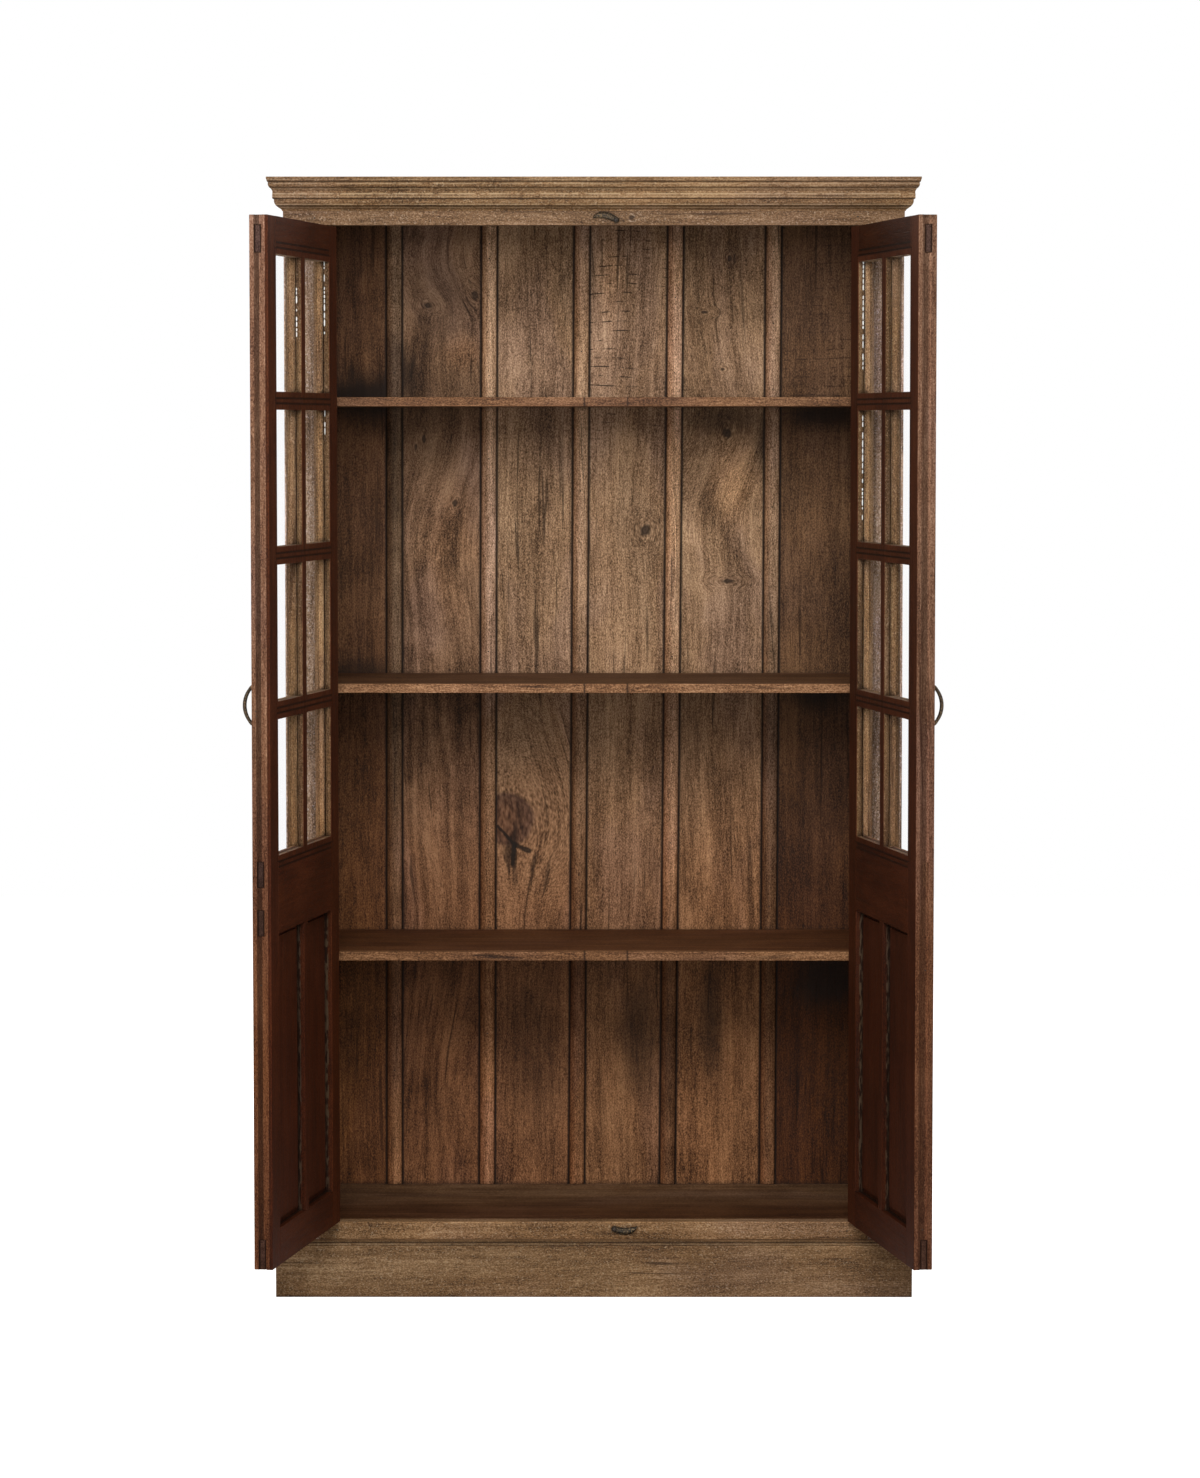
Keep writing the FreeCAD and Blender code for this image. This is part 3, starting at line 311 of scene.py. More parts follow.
def marked(place, colour, knots, stains_and_shadows, patches_and_shade, eyes, cracks):
    """Knots, stains and painted shadows, pale patches and painted shade, darker eyes and cracks."""
    for spot, reach in eyes:
        near = around(place, spot, reach) + cloud(place, 22.0, 3.0) * 0.3 - 0.15
        eye = near.between(0.2, 1.0).mixed(eye_middle, eye_rim)
        colour = (1.0 - near.between(0.86, 1.06)).mixed(colour, eye, "MULTIPLY")
    # A patch stronger than one makes the wood paler; one weaker than one is painted shade.
    for spot, reach, strength in patches_and_shade:
        near = around(place, spot, reach) + cloud(place, 14.0, 3.0) * 0.8 - 0.4
        patch = tinted(glow_tint, strength)
        colour = (1.0 - near.between(0.1, 1.15)).mixed(colour, patch, "MULTIPLY")
    # Some stains are painted shadows, under the shelves' ends on the back boards.
    for spot, reach, depth in stains_and_shadows:
        near = around(place, spot, reach) + cloud(place, 13.0, 4.0) * 1.0 - 0.5
        colour = ((1.0 - near.between(0.15, 1.2)) * depth).mixed(colour, stain_and_shade_dark)
    for spot, reach in knots:
        near = around(place, spot, reach) + cloud(place, 90.0, 2.0) * 1.4 - 0.7
        knot = ((near * 8.0).reckon("SINE") * 0.5 + 0.5).mixed(knot_dark, knot_brown)
        colour = (0.92 - 0.92 * near.between(0.35, 1.25)).mixed(colour, knot)
    for start, end, half in cracks:
        colour = (cracked(place, start, end, half) * 0.92).mixed(colour, knot_dark)
    return colour


knot_dark = (0.012, 0.007, 0.004)
knot_brown = (0.050, 0.028, 0.016)
eye_middle, eye_rim = (0.52, 0.46, 0.47), (0.36, 0.33, 0.38)
glow_tint = (1.0, 0.97, 0.92)
marks_fade = 0.002
stain_and_shade_dark = (0.014, 0.007, 0.004)
golden, lilac = (1.09, 0.995, 0.86), (0.98, 0.965, 1.06)


def wood(
    name, along, shift, colours, strength=1.0, seat=None, dress=None, rings=6.0, wild=1.0,
    coarse=0.70, waver=0.05, veins=0.7, sweeps=(), knots=(), stains_and_shadows=(), patches_and_shade=(), eyes=(),
    cracks=(), marked_to=None, tone=None, low_tint=None, grime=0.85, grime_reach=0.014,
    rough=0.58, sheen=0.18, relief=0.0007,
):
    """A finished wood. dress is a piece's own way to colour it, with its lines and marks."""
    material = cleared(name)
    place = placed(material, seat)
    grain = grown(place, along, shift, waver, (*knots, *eyes), sweeps)
    light, fibre, speck = figured(grain, along, rings, wild, coarse)
    vein = cloud(grain, across(along, 120.0, 3.0), 3.0).between(0.40, 0.32)
    vein = vein * cloud(grain, across(along, 9.0, 3.0), 1.0).between(0.42, 0.60) * veins
    if dress:
        colour = dress(place, grain, light, strength)
    else:
        colour = shaded(light, colours, strength)
    colour = vein.mixed(colour, tinted(colours[0], 0.8))
    hue = cloud(grain, across(along, 7.0, 3.0), 3.0, 0.4)
    hue_tint = hue.between(0.40, 0.60).mixed(golden, lilac)
    colour = hue.between(0.32, 0.68).mixed(colour, hue_tint, "MULTIPLY")
    if tone:
        colour = colour.multiplied(tone)
    # Painted shade and light: towards the bottom, where less light falls, the colour is multiplied
    # by the low tint.
    if low_tint:
        colour = place.part("Z").between(1.30, 0.45).mixed(colour, low_tint, "MULTIPLY")
    spotted = marked(place, colour, knots, stains_and_shadows, patches_and_shade, eyes, cracks)
    if marked_to:
        spotted = place.part("Y").between(marked_to, marked_to - marks_fade).mixed(colour, spotted)
    # Painted shade: the colour darkens in corners and creases, as far as the ambient occlusion
    # finds them.
    nook = place.add("AmbientOcclusion", {"Distance": grime_reach}, {"samples": 5}, "AO")
    colour = (nook.between(0.82, 0.34) * grime).mixed(spotted, stain_and_shade_dark)
    height = fibre + speck * 0.6 - vein * 0.9
    bump = place.add("Bump", {"Distance": relief, "Height": height})
    sockets = {"Base Color": colour, "Roughness": rough + 0.3 * fibre, "Specular IOR Level": sheen}
    surfaced(place, dict(sockets, Normal=bump))
    return material


def lined(height, low, high, lines):
    """One on each line across the height. A line has a height, a half width and a depth."""
    stops = [(0.0, (0.0,) * 3)]
    for level, half, depth in lines:
        for edge, share in ((level - half, 0.0), (level, depth), (level + half, 0.0)):
            stops.append(((edge - low) / (high - low), (share,) * 3))
    climb = (height - low) * (1.0 / (high - low))
    return climb.add("ValToRGB", {0: climb}, {"stops": stops})


limed_colours = (
    (0.034, 0.015, 0.006), (0.108, 0.055, 0.022), (0.192, 0.103, 0.044), (0.290, 0.168, 0.080),
    (0.480, 0.315, 0.170),
)
pigment = (0.52, 0.38, 0.24)
ridge_highlight_pale, quirk_shade_dark = (0.48, 0.345, 0.20), (0.020, 0.010, 0.004)


def limed(dark_lines=(), pale_lines=()):
    """Limed wood with pale flecks of pigment, and a moulding's lines of painted shade and
    highlight.
    """

    def dress(place, grain, light, strength):
        fleck = cloud(grain, 330.0, 3.0, 0.6)
        colour = shaded(light, limed_colours, strength)
        colour = (fleck.between(0.57, 0.68) * 0.5).mixed(colour, pigment)
        if dark_lines:
            low, high = dark_lines[0][0] - 0.004, dark_lines[-1][0] + 0.012
            worn = cloud(grain, 60.0, 3.0).between(0.34, 0.52)
            rise = place.part("Z")
            # The ridges get wear with painted highlight, the quirks painted shade.
            colour = (lined(rise, low, high, pale_lines) * worn).mixed(colour, ridge_highlight_pale)
            colour = lined(rise, low, high, dark_lines).mixed(colour, quirk_shade_dark)
        return colour

    return dress


def finished(name, *materials):
    """Gives a node these materials."""
    slots = nodes[name].data.materials
    slots.clear()
    for material in materials:
        slots.append(material)


weld_reach = 0.00002
steep_arris = math.radians(32.0)


def clad(name, width, brighter, strength, **features):
    """Finishes a wooden node, and wears its arrises round, in wood so much brighter."""
    face = wood(name, strength=strength, **features)
    arris = wood(name + "_arris", strength=strength * brighter, **dict(features, grime=0.0))
    finished(name, face, arris)
    weld = nodes[name].modifiers.new("weld", "WELD")
    weld.merge_threshold = weld_reach
    bevel = nodes[name].modifiers.new("worn_arrises", "BEVEL")
    bevel.width = width
    bevel.segments = 2
    bevel.limit_method = "ANGLE"
    bevel.angle_limit = steep_arris
    bevel.use_clamp_overlap = False
    bevel.material = 1


stile_face = (0.012, 0.002)
stile_reflection_grey = (1.72, 2.10, 3.20)


def reflection_greyed(place, grain, light, strength):
    """Limed wood with painted reflection: greyer, paler on its front, as it shows through the
    panes.
    """
    colour = limed()(place, grain, light, strength)
    return place.part("Y").between(*stile_face).mixed(colour, stile_reflection_grey, "MULTIPLY")


frieze_marks = {
    "knots": [((0.0665, 0.0, 1.929), (0.006, 0.03, 0.0045))],
    "stains_and_shadows": [
        ((0.052, 0.0, 1.9235), (0.0040, 0.03, 0.0022), 0.95),
        ((0.045, 0.0, 1.9275), (0.0085, 0.03, 0.0026), 0.75),
        ((-0.5, 0.0, 1.93), (0.016, 0.03, 0.02), 0.25),
    ],
    "tone": (0.97, 0.98, 1.10),
}
rail_marks = {"stains_and_shadows": [((0.035, 0.0, 0.113), (0.060, 0.02, 0.008), 0.3)], "grime_reach": 0.004}
cornice_quirk_shades = [
    (1.9443, 0.0011, 0.75), (1.9493, 0.0018, 0.97), (1.9540, 0.0010, 0.5), (1.9620, 0.0017, 0.97),
    (1.9765, 0.0011, 0.6), (1.9817, 0.0015, 0.85), (1.9918, 0.0018, 0.95),
]
cornice_ridge_highlights = [
    (1.9467, 0.0011, 0.5), (1.9520, 0.0011, 0.7), (1.9655, 0.0018, 0.4), (1.9703, 0.0020, 0.85),
    (1.9790, 0.0012, 0.4), (1.9880, 0.0018, 0.5), (1.9950, 0.0015, 0.4),
]
cornice_looks = {
    "dress": limed(cornice_quirk_shades, cornice_ridge_highlights),
    "wild": 1.2, "grime_reach": 0.006, "veins": 0.85,
}
plinth_quirk_shades = [(0.0930, 0.0012, 0.65), (0.0983, 0.0016, 0.97)]
plinth_ridge_highlights = [(0.0958, 0.0011, 0.45), (0.1000, 0.0008, 0.3)]
plinth_looks = {"dress": limed(plinth_quirk_shades, plinth_ridge_highlights), "grime_reach": 0.004}
frame_woods = {
    # The frieze, at 0.78, is darker than the rest of the frame: painted shade under the cornice.
    "frieze_rail": ("X", (0.3, 0.1, 0.7), 0.0007, 0.78, frieze_marks),
    "bottom_rail": ("X", (1.3, 0.4, 0.2), 0.0012, 1.22, rail_marks),
    "left_front_stile": ("Z", (2.3, 0.4, 0.2), 0.0012, 0.95, {"dress": reflection_greyed}),
    "right_front_stile": ("Z", (3.1, 0.4, 0.2), 0.0012, 0.92, {"dress": reflection_greyed}),
    "cornice_front": ("X", (4.2, 0.5, 0.1), 0.0004, 0.95, cornice_looks),
    "left_cornice_return": ("Y", (5.2, 0.5, 0.1), 0.0004, 0.95, cornice_looks),
    "right_cornice_return": ("Y", (6.2, 0.5, 0.1), 0.0004, 0.95, cornice_looks),
    "plinth_front": ("X", (7.2, 0.5, 0.4), 0.0006, 0.95, plinth_looks),
    "left_plinth_return": ("Y", (8.2, 0.5, 0.4), 0.0006, 0.95, plinth_looks),
    "right_plinth_return": ("Y", (9.2, 0.5, 0.4), 0.0006, 0.95, plinth_looks),
    "plinth_back": ("X", (1.2, 2.5, 0.4), 0.001, 0.9, {}),
    "top_board": ("X", (1.9, 2.2, 3.4), 0.001, 0.9, {}),
}
for node, (along, shift, width, strength, features) in frame_woods.items():
    looks = dict({"dress": limed()}, **features)
    clad(node, width, 1.45, strength, along=along, shift=shift, colours=limed_colours, **looks)


# Back: six wide boards of the same wood, left as they came from the saw, dusty and brown, with
# their own figure each. Posts, side rails and side panels are of the same boards.
board_colours = (
    (0.022, 0.011, 0.005), (0.085, 0.046, 0.022), (0.170, 0.100, 0.054), (0.275, 0.170, 0.096),
    (0.420, 0.280, 0.165),
)


batten_lines = {
    1: (-0.3773, -0.3730), 2: (-0.2032, -0.1953), 3: (-0.0340, -0.0225), 4: (0.1372, 0.1520),
    5: (0.3256, 0.3342),
}
batten_foot, batten_head = 0.133, 1.982
batten_half, batten_shade_reach, hair_line = 0.0150, 0.0048, 0.0002
batten_shade_black = (0.005, 0.003, 0.002)
unmarked_from = 0.4215


def shade_beside_battens(place, numbers):
    """One in the painted shade that lies along the edges of these battens, which lean."""
    batten_edge_shade = None
    for number in numbers:
        if number in batten_lines:
            foot, head = batten_lines[number]
            lean = (head - foot) / (batten_head - batten_foot)
            line = (place.part("Z") - batten_foot) * lean + foot
            aside = abs(place.part("X") - line) - batten_half
            near = aside.between(batten_shade_reach, hair_line)
            batten_edge_shade = near if batten_edge_shade is None else batten_edge_shade.reckon("MAXIMUM", near)
    return batten_edge_shade


def sawn(number, depth=0.0):
    """Board wood with painted shade by its battens and broken level scratches of the saw, so deep.
    """

    def dress(place, grain, light, strength):
        colour = shaded(light, board_colours, strength)
        if depth:
            rise = place.part("Z") + cloud(grain, 5.0, 1.0) * 0.03
            tooth = (rise * 60.0).reckon("PINGPONG", 0.5).between(0.095, 0.030)
            broken = cloud(grain, (60.0, 60.0, 55.0), 3.0).between(0.46, 0.60)
            field = cloud(grain, (9.0, 9.0, 3.5), 2.0).between(0.36, 0.52)
            field = place.part("Z").between(1.46, 1.64) * field
            colour = (tooth * broken * field * depth).mixed(colour, stain_and_shade_dark)
        # Painted shade beside the battens, on the boards' face only.
        inner = place.part("Y").between(unmarked_from, unmarked_from - marks_fade)
        batten_edge_shade = shade_beside_battens(place, (number - 1, number)) * inner
        return (batten_edge_shade * 0.97).mixed(colour, batten_shade_black)

    return dress


low_tint = (0.86, 0.64, 0.48)
board_face, board_middle, board_reach = 0.417, 0.4, 0.5
# Each board's strength, tone and low tint hold painted shade: boards 1 and 6, at the sides, are
# made darker.
back_boards = {
    1: {
        "strength": 0.52, "shift": (1.7, 0.3, 0.9), "rings": 5.0, "wild": 1.2,
        "tone": (1.22, 0.94, 0.76), "low_tint": (1.4, 1.16, 0.84),
        "stains_and_shadows": [(-0.44, 1.612, 0.14, 0.07, 0.97), (-0.44, 1.1, 0.12, 0.04, 0.7)],
    },
    2: {
        "strength": 1.04, "shift": (5.1, 0.3, 2.9), "rings": 9.0, "wild": 1.8, "waver": 0.1,
        "tone": (1.04, 0.97, 0.97),
        "sweeps": [(1.46, 0.2, 0.32), (1.82, 0.09, -0.55)],
        "knots": [
            (-0.261, 1.417, 0.005, 0.007), (-0.311, 1.786, 0.01, 0.007),
            (-0.223, 1.805, 0.007, 0.012), (-0.319, 1.538, 0.004, 0.011),
            (-0.334, 1.52, 0.003, 0.009),
        ],
        "stains_and_shadows": [(-0.36, 1.66, 0.035, 0.06, 0.7), (-0.28, 1.8, 0.09, 0.09, 0.35)],
        "patches_and_shade": [
            (-0.245, 1.7, 0.045, 0.045, 1.45), (-0.27, 1.32, 0.07, 0.16, 1.25),
            (-0.29, 1.62, 0.12, 0.2, 0.66),
        ],
    },
    3: {
        "strength": 1.52, "shift": (2.4, 0.7, 4.1), "rings": 4.0, "wild": 1.3,
        "low_tint": (0.74, 0.54, 0.42),
        "eyes": [(-0.165, 0.824, 0.053, 0.053)],
        "cracks": [
            (-0.182, 0.811, -0.149, 0.775, 0.004), (-0.15, 0.777, -0.124, 0.764, 0.0066),
            (-0.151, 0.777, -0.154, 0.74, 0.007),
        ],
        "stains_and_shadows": [(-0.15, 0.72, 0.006, 0.03, 0.4), (-0.11, 0.38, 0.09, 0.2, 0.3)],
    },
    4: {
        "strength": 1.6, "saw": 0.9, "shift": (8.3, 0.9, 5.3), "rings": 5.0, "wild": 1.1,
        "low_tint": (0.72, 0.56, 0.44),
        "knots": [(0.094, 1.367, 0.01, 0.012)],
        "stains_and_shadows": [(0.085, 0.406, 0.05, 0.13, 0.6)],
        "patches_and_shade": [(0.03, 1.86, 0.03, 0.14, 1.3)],
    },
    5: {
        "strength": 1.46, "shift": (6.2, 0.2, 6.7), "rings": 8.0, "wild": 1.35, "waver": 0.07,
        "sweeps": [(1.49, 0.15, 0.4)],
        "knots": [
            (0.247, 1.548, 0.009, 0.012), (0.252, 1.873, 0.004, 0.005),
            (0.206, 1.773, 0.008, 0.003), (0.24, 1.667, 0.005, 0.003),
            (0.252, 1.272, 0.014, 0.004),
        ],
        "stains_and_shadows": [
            (0.325, 1.53, 0.03, 0.06, 0.8), (0.22, 0.45, 0.03, 0.12, 0.7),
            (0.245, 1.575, 0.1, 0.03, 0.5),
        ],
        "patches_and_shade": [(0.262, 1.46, 0.055, 0.1, 1.6)],
    },
    6: {
        "strength": 0.63, "saw": 0.6, "shift": (3.6, 0.6, 7.4), "rings": 6.0,
        "tone": (1.0, 0.84, 0.7), "low_tint": (0.6, 0.38, 0.22),
        "stains_and_shadows": [
            (0.44, 1.585, 0.12, 0.035, 0.9), (0.44, 1.06, 0.1, 0.045, 0.9),
            (0.44, 0.52, 0.1, 0.08, 0.9),
        ],
    },
}
for number, looks in back_boards.items():
    looks = dict({"saw": 0.0, "low_tint": low_tint}, **looks)
    looks["dress"] = sawn(number, looks.pop("saw"))
    for kind in ("knots", "eyes", "stains_and_shadows", "patches_and_shade"):
        looks[kind] = [
            ((x, board_middle, z), (wide, board_reach, tall), *depth)
            for x, z, wide, tall, *depth in looks.get(kind, ())
        ]
    looks["cracks"] = [
        ((x, board_face, z), (end_x, board_face, end_z), half)
        for x, z, end_x, end_z, half in looks.get("cracks", ())
    ]
    looks.update(along="Z", colours=board_colours, marked_to=unmarked_from)
    clad(f"back_board_{number}", 0.001, 1.1, **looks)
side_woods = {
    "left_rear_post": ("Z", (1.1, 4.0, 0.3)),
    "right_rear_post": ("Z", (1.1, 5.0, 0.6)),
    "left_side_rails": ("Y", (2.1, 4.0, 0.3)),
    "right_side_rails": ("Y", (2.1, 5.0, 0.6)),
    "left_side_panels": ("Z", (3.1, 4.0, 0.3)),
    "right_side_panels": ("Z", (3.1, 5.0, 0.6)),
}
for node, (along, shift) in side_woods.items():
    clad(node, 0.001, 1.4, 0.95, along=along, shift=shift, colours=limed_colours, dress=limed())


# Battens: half-round strips of the same wood, nailed over the joints of the back boards. They
# are lighter than the boards, with painted shade down their flanks and along parts of them.
flank_shade_tint = (0.66, 0.56, 0.48)


def turned_to(place, axis):
    """How much a face looks along an axis of its node."""
    return place.add("TexCoord", out="Normal").part(axis)


def flank_shaded(place, grain, light, strength):
    """Board wood with painted shade down the flanks of the half rounds, most on the left flank."""
    aside = turned_to(place, "X")
    colour = shaded(light, board_colours, strength)
    colour = (1.0 - aside.between(-0.75, 0.30)).mixed(colour, flank_shade_tint, "MULTIPLY")
    return (abs(aside).between(0.66, 0.86) * 0.96).mixed(colour, stain_and_shade_dark)


# Painted shade on the battens: each entry darkens a length of one batten where its compartment gets
# less light.
batten_painted_shade = [
    (-0.375, 1.05, 1.35, 0.34), (-0.375, 1.64, 0.30, 0.45), (-0.375, 1.37, 0.20, 0.70),
    (-0.199, 0.78, 0.50, 0.64), (-0.029, 0.65, 0.80, 0.50), (-0.024, 1.80, 0.22, 0.80),
    (0.149, 1.60, 0.50, 1.22), (0.144, 0.36, 0.40, 0.30), (0.330, 0.70, 1.15, 0.38),
]
finished(
    "back_battens",
    wood(
        "back_battens", "Z", (4.4, 0.8, 0.5), board_colours, 2.60, dress=flank_shaded, rings=3.0,
        wild=0.5, tone=(1.0, 1.05, 1.16), low_tint=low_tint,
        patches_and_shade=[((x, 0.4, z), (0.045, 0.8, tall), factor) for x, z, tall, factor in batten_painted_shade],
    ),
)


# Shelves and floor: planed boards of reddish wood under old wax, darker where they lie in the
# shade. A lipping in three lengths is glued along the front edge of each shelf.
waxed_colours = (
    (0.018, 0.007, 0.003), (0.066, 0.029, 0.0125), (0.130, 0.062, 0.028), (0.215, 0.112, 0.056),
    (0.345, 0.200, 0.110),
)
lipping_joints = [(-0.017, 0.0028, 0.97), (0.060, 0.0028, 0.97)]
lipping_dark = (0.015, 0.006, 0.003)
upper_lipping_shade_tint = (0.76, 0.74, 0.72)
front_tint, rear_tint = (0.62, 0.50, 0.41), (1.28, 1.42, 1.48)


def jointed(place, grain, light, strength):
    """Waxed wood with the dark joints of the lippings' three lengths."""
    colour = shaded(light, waxed_colours, strength)
    # Painted shade: the upper shelf's lipping is made darker.
    colour = place.part("Z").between(1.2, 1.4).mixed(colour, upper_lipping_shade_tint, "MULTIPLY")
    return lined(place.part("X"), -0.1, 0.1, lipping_joints).mixed(colour, lipping_dark)


def front_darkened(place, grain, light, strength):
    """Waxed wood that is darker and redder along the front and lighter towards the back."""
    tint = place.part("Y").between(0.10, 0.36).mixed(front_tint, rear_tint)
    return shaded(light, waxed_colours, strength).multiplied(tint)


lipping_looks = {"dress": jointed, "low_tint": (0.92, 0.88, 0.80)}
shelf_woods = {
    "upper_shelf": ("X", (0.3, 0.1, 0.7), 0.85, 0.0008, {}),
    "middle_shelf": ("X", (1.3, 1.1, 0.7), 0.85, 0.0008, {}),
    "lower_shelf": ("X", (2.3, 2.1, 0.7), 0.85, 0.0008, {}),
    "shelf_lippings": ("X", (3.3, 3.1, 0.7), 1.54, 0.0010, lipping_looks),
    "shelf_bearers": ("Y", (4.3, 4.1, 0.7), 0.40, 0.0008, {}),
    "floor_boards": ("X", (5.3, 5.1, 0.7), 0.85, 0.0008, {"dress": front_darkened, "low_tint": None}),
}
for node, (along, shift, strength, width, features) in shelf_woods.items():
    clad(
        node, width, 1.25, strength, along=along, shift=shift, colours=waxed_colours, rough=0.46,
        sheen=0.12, relief=0.0004, **dict({"low_tint": low_tint}, **features),
    )


# Doors: framed in the reddish wood, tenoned and wedged. Inside they keep their old dark red
# brown polish, outside they were limed with the cabinet, and the meeting edges are rubbed pale.
pin_reach, pin_front = 0.491, -0.0042
open_angle = math.radians(100.2)
door_seats = {
    "left_door": ((-pin_reach, pin_front, 0.0), -open_angle, 1.0),
    "right_door": ((pin_reach, pin_front, 0.0), open_angle, -1.0),
}
polish_colours = (
    (0.014, 0.0044, 0.0018), (0.031, 0.0090, 0.0036), (0.050, 0.0140, 0.0054),
    (0.068, 0.0200, 0.0080), (0.100, 0.0330, 0.0140),
)
rubbed_colours = (
    (0.036, 0.014, 0.007), (0.105, 0.047, 0.026), (0.180, 0.088, 0.050), (0.275, 0.150, 0.092),
    (0.440, 0.280, 0.185),
)
end_grain_colours = (
    (0.016, 0.008, 0.006), (0.040, 0.020, 0.014), (0.075, 0.040, 0.030), (0.115, 0.065, 0.050),
    (0.190, 0.115, 0.090),
)
rebate_face = 0.0267
low_polish = 0.0190
bead_edge = 0.0354
free_edge = 0.489
tenon_sides = [(0.0136, 0.0018, 0.95), (0.0232, 0.0018, 0.95)]
tenon_middle, tenon_half = 0.0184, 0.0048
tenon_ends = {
    "top_rail": [(1.850, 1.895)],
    "lock_rail": [(0.786, 0.828), (0.704, 0.746)],
    "bottom_rail": [(0.136, 0.186)],
}
level_bar, bar_pitch, upright_bar = 1.081, 0.261, 0.245
bar_half, sight_half = 0.0045, 0.197
lock_head = 0.80
joint_and_shade_dark = (0.010, 0.004, 0.002)
groove_shade_brown = (0.022, 0.010, 0.005)
crust_and_highlight = (0.082, 0.060, 0.046)
edge_bands = {
    "left_door": (0.0121, 0.0204, 0.72, 0.0310),
    "right_door": (0.0182, 0.0290, 0.50, 0.0356),
}
top_rail_shade_tints = {"left_door": (0.82, 0.80, 0.74), "right_door": (0.57, 0.53, 0.38)}
low_edge_shade_tints = {"left_door": (0.79, 0.68, 0.57), "right_door": (1.0, 0.94, 0.92)}
low_stile_light_tint, high_stile_shade_tint = (1.16, 1.20, 1.08), (0.90, 0.86, 0.86)
stile_outside_reflection_tint = (1.16, 1.20, 1.28)
outside_fleck, edge_fleck = (0.42, 0.30, 0.19), (0.42, 0.25, 0.16)


def near_seam(distance, seam, half):
    """One in the dark joint at that distance."""
    return abs(distance - seam).between(half, half * 0.2)


def round_tenon(deep, rise, foot, head):
    """One in the dark joint round a tenon's end."""
    across_it = abs(deep - tenon_middle) - tenon_half
    up_it = abs(rise - (foot + head) / 2) - (head - foot) / 2
    return across_it.reckon("MAXIMUM", up_it).between(0.0024, 0.0004)


def polished(polish_from, member, door_light, door):
    """Polish inside, set lighter for the left door than the right, liming outside, a rubbed edge
    between.
    """

    def dress(place, grain, light, strength):
        deep, reach, rise = place.part("Y"), place.part("X"), place.part("Z")
        fleck = cloud(grain, 330.0, 3.0, 0.6)
        # The glazing's polish is made lighter as painted highlight on its beads.
        lightness = door_light * (1.4 if "glazing" in member else 1.15)
        inside = shaded(light, polish_colours, strength * lightness)
        if member in ("glazing_bars", "glazing_beads", "hinge_stile", "meeting_stile"):
            sideways = abs(reach - upright_bar)
            seam = near_seam(sideways, sight_half, 0.0018)
            seam = near_seam(sideways, bar_half, 0.0018).reckon("MAXIMUM", seam)
            seam = seam * rise.between(lock_head, lock_head + 0.02)
            inside = (seam * 0.9).mixed(inside, joint_and_shade_dark)
        if member in ("glazing_bars", "glazing_beads", "lock_rail", "top_rail"):
            upwards = (rise - level_bar).reckon("PINGPONG", bar_pitch / 2)
            inside = (near_seam(upwards, bar_half, 0.0030) * 0.97).mixed(inside, joint_and_shade_dark)
        if member in ("mullion", "hinge_stile", "meeting_stile", "lock_rail", "bottom_rail"):
            # Painted shade in the recess round the lower panels.
            below_glass = rise.between(lock_head, lock_head - 0.02)
            inside = (deep.between(0.0296, 0.0268) * below_glass * 0.9).mixed(inside, joint_and_shade_dark)
        # Painted shade: the top of the top rail is darker, most on the right door.
        if member == "top_rail":
            inside = rise.between(1.80, 1.88).mixed(inside, top_rail_shade_tints[door], "MULTIPLY")
        # Pale dust and painted highlight on the faces of mullion and hinge stile that look to the
        # front, low down.
        if member in ("mullion", "hinge_stile"):
            faced = turned_to(place, "Y").between(-0.30, -0.80)
            dust_and_highlight = cloud(grain, (260.0, 260.0, 60.0), 3.0).between(0.46, 0.58)
            dust_and_highlight = dust_and_highlight * faced * deep.between(0.0306, 0.0284)
            inside = (dust_and_highlight * rise.between(lock_head, lock_head - 0.10)).mixed(inside, crust_and_highlight)
        outside = shaded(light, limed_colours, strength * (0.72 if "glazing" in member else 0.95))
        # Painted light and shade on the hinge stile: inside lighter low and darker high, outside
        # paler and bluer as painted reflection.
        if member == "hinge_stile":
            stile_tint = rise.between(0.5, 1.6).mixed(low_stile_light_tint, high_stile_shade_tint)
            inside = inside.multiplied(stile_tint)
            outside = outside.multiplied(stile_outside_reflection_tint)
        outside = (fleck.between(0.57, 0.68) * 0.4).mixed(outside, outside_fleck)
        lock_tenons = tenon_ends["lock_rail"] if door == "left_door" else []
        if member in tenon_ends and (lock_tenons or member != "lock_rail"):
            edge = shaded(light, end_grain_colours, 0.5 if member == "lock_rail" else 0.85)
            edge = lined(deep, 0.005, 0.035, tenon_sides).mixed(edge, joint_and_shade_dark)
        else:
            edge = shaded(light, rubbed_colours, strength * 1.15)
            edge = (fleck.between(0.55, 0.68) * 0.35).mixed(edge, edge_fleck)
            low_side, high_side, depth, inner_side = edge_bands[door]
            # Painted shade in the groove down the meeting edge.
            groove_shade = deep.between(high_side + 0.0008, high_side - 0.0004)
            groove_shade = deep.between(low_side - 0.0008, low_side + 0.0004) * groove_shade
            edge = (groove_shade * depth).mixed(edge, groove_shade_brown)
            for foot, head in tenon_ends["top_rail"] + tenon_ends["bottom_rail"] + lock_tenons:
                edge = (round_tenon(deep, rise, foot, head) * 0.93).mixed(edge, joint_and_shade_dark)
            # Painted shade: the meeting edge is darker towards the bottom.
            edge = rise.between(1.3, 0.6).mixed(edge, low_edge_shade_tints[door], "MULTIPLY")
            edge = deep.between(inner_side - 0.0006, inner_side + 0.0004).mixed(edge, inside)
        if "stile" in member:
            below_glass = rise.between(lock_head + 0.005, lock_head - 0.005)
            deep = deep + below_glass * (rebate_face - low_polish)
        colour = deep.between(polish_from - 0.0006, polish_from).mixed(outside, inside)
        return reach.between(free_edge - 0.0030, free_edge - 0.0024).mixed(colour, edge)

    return dress


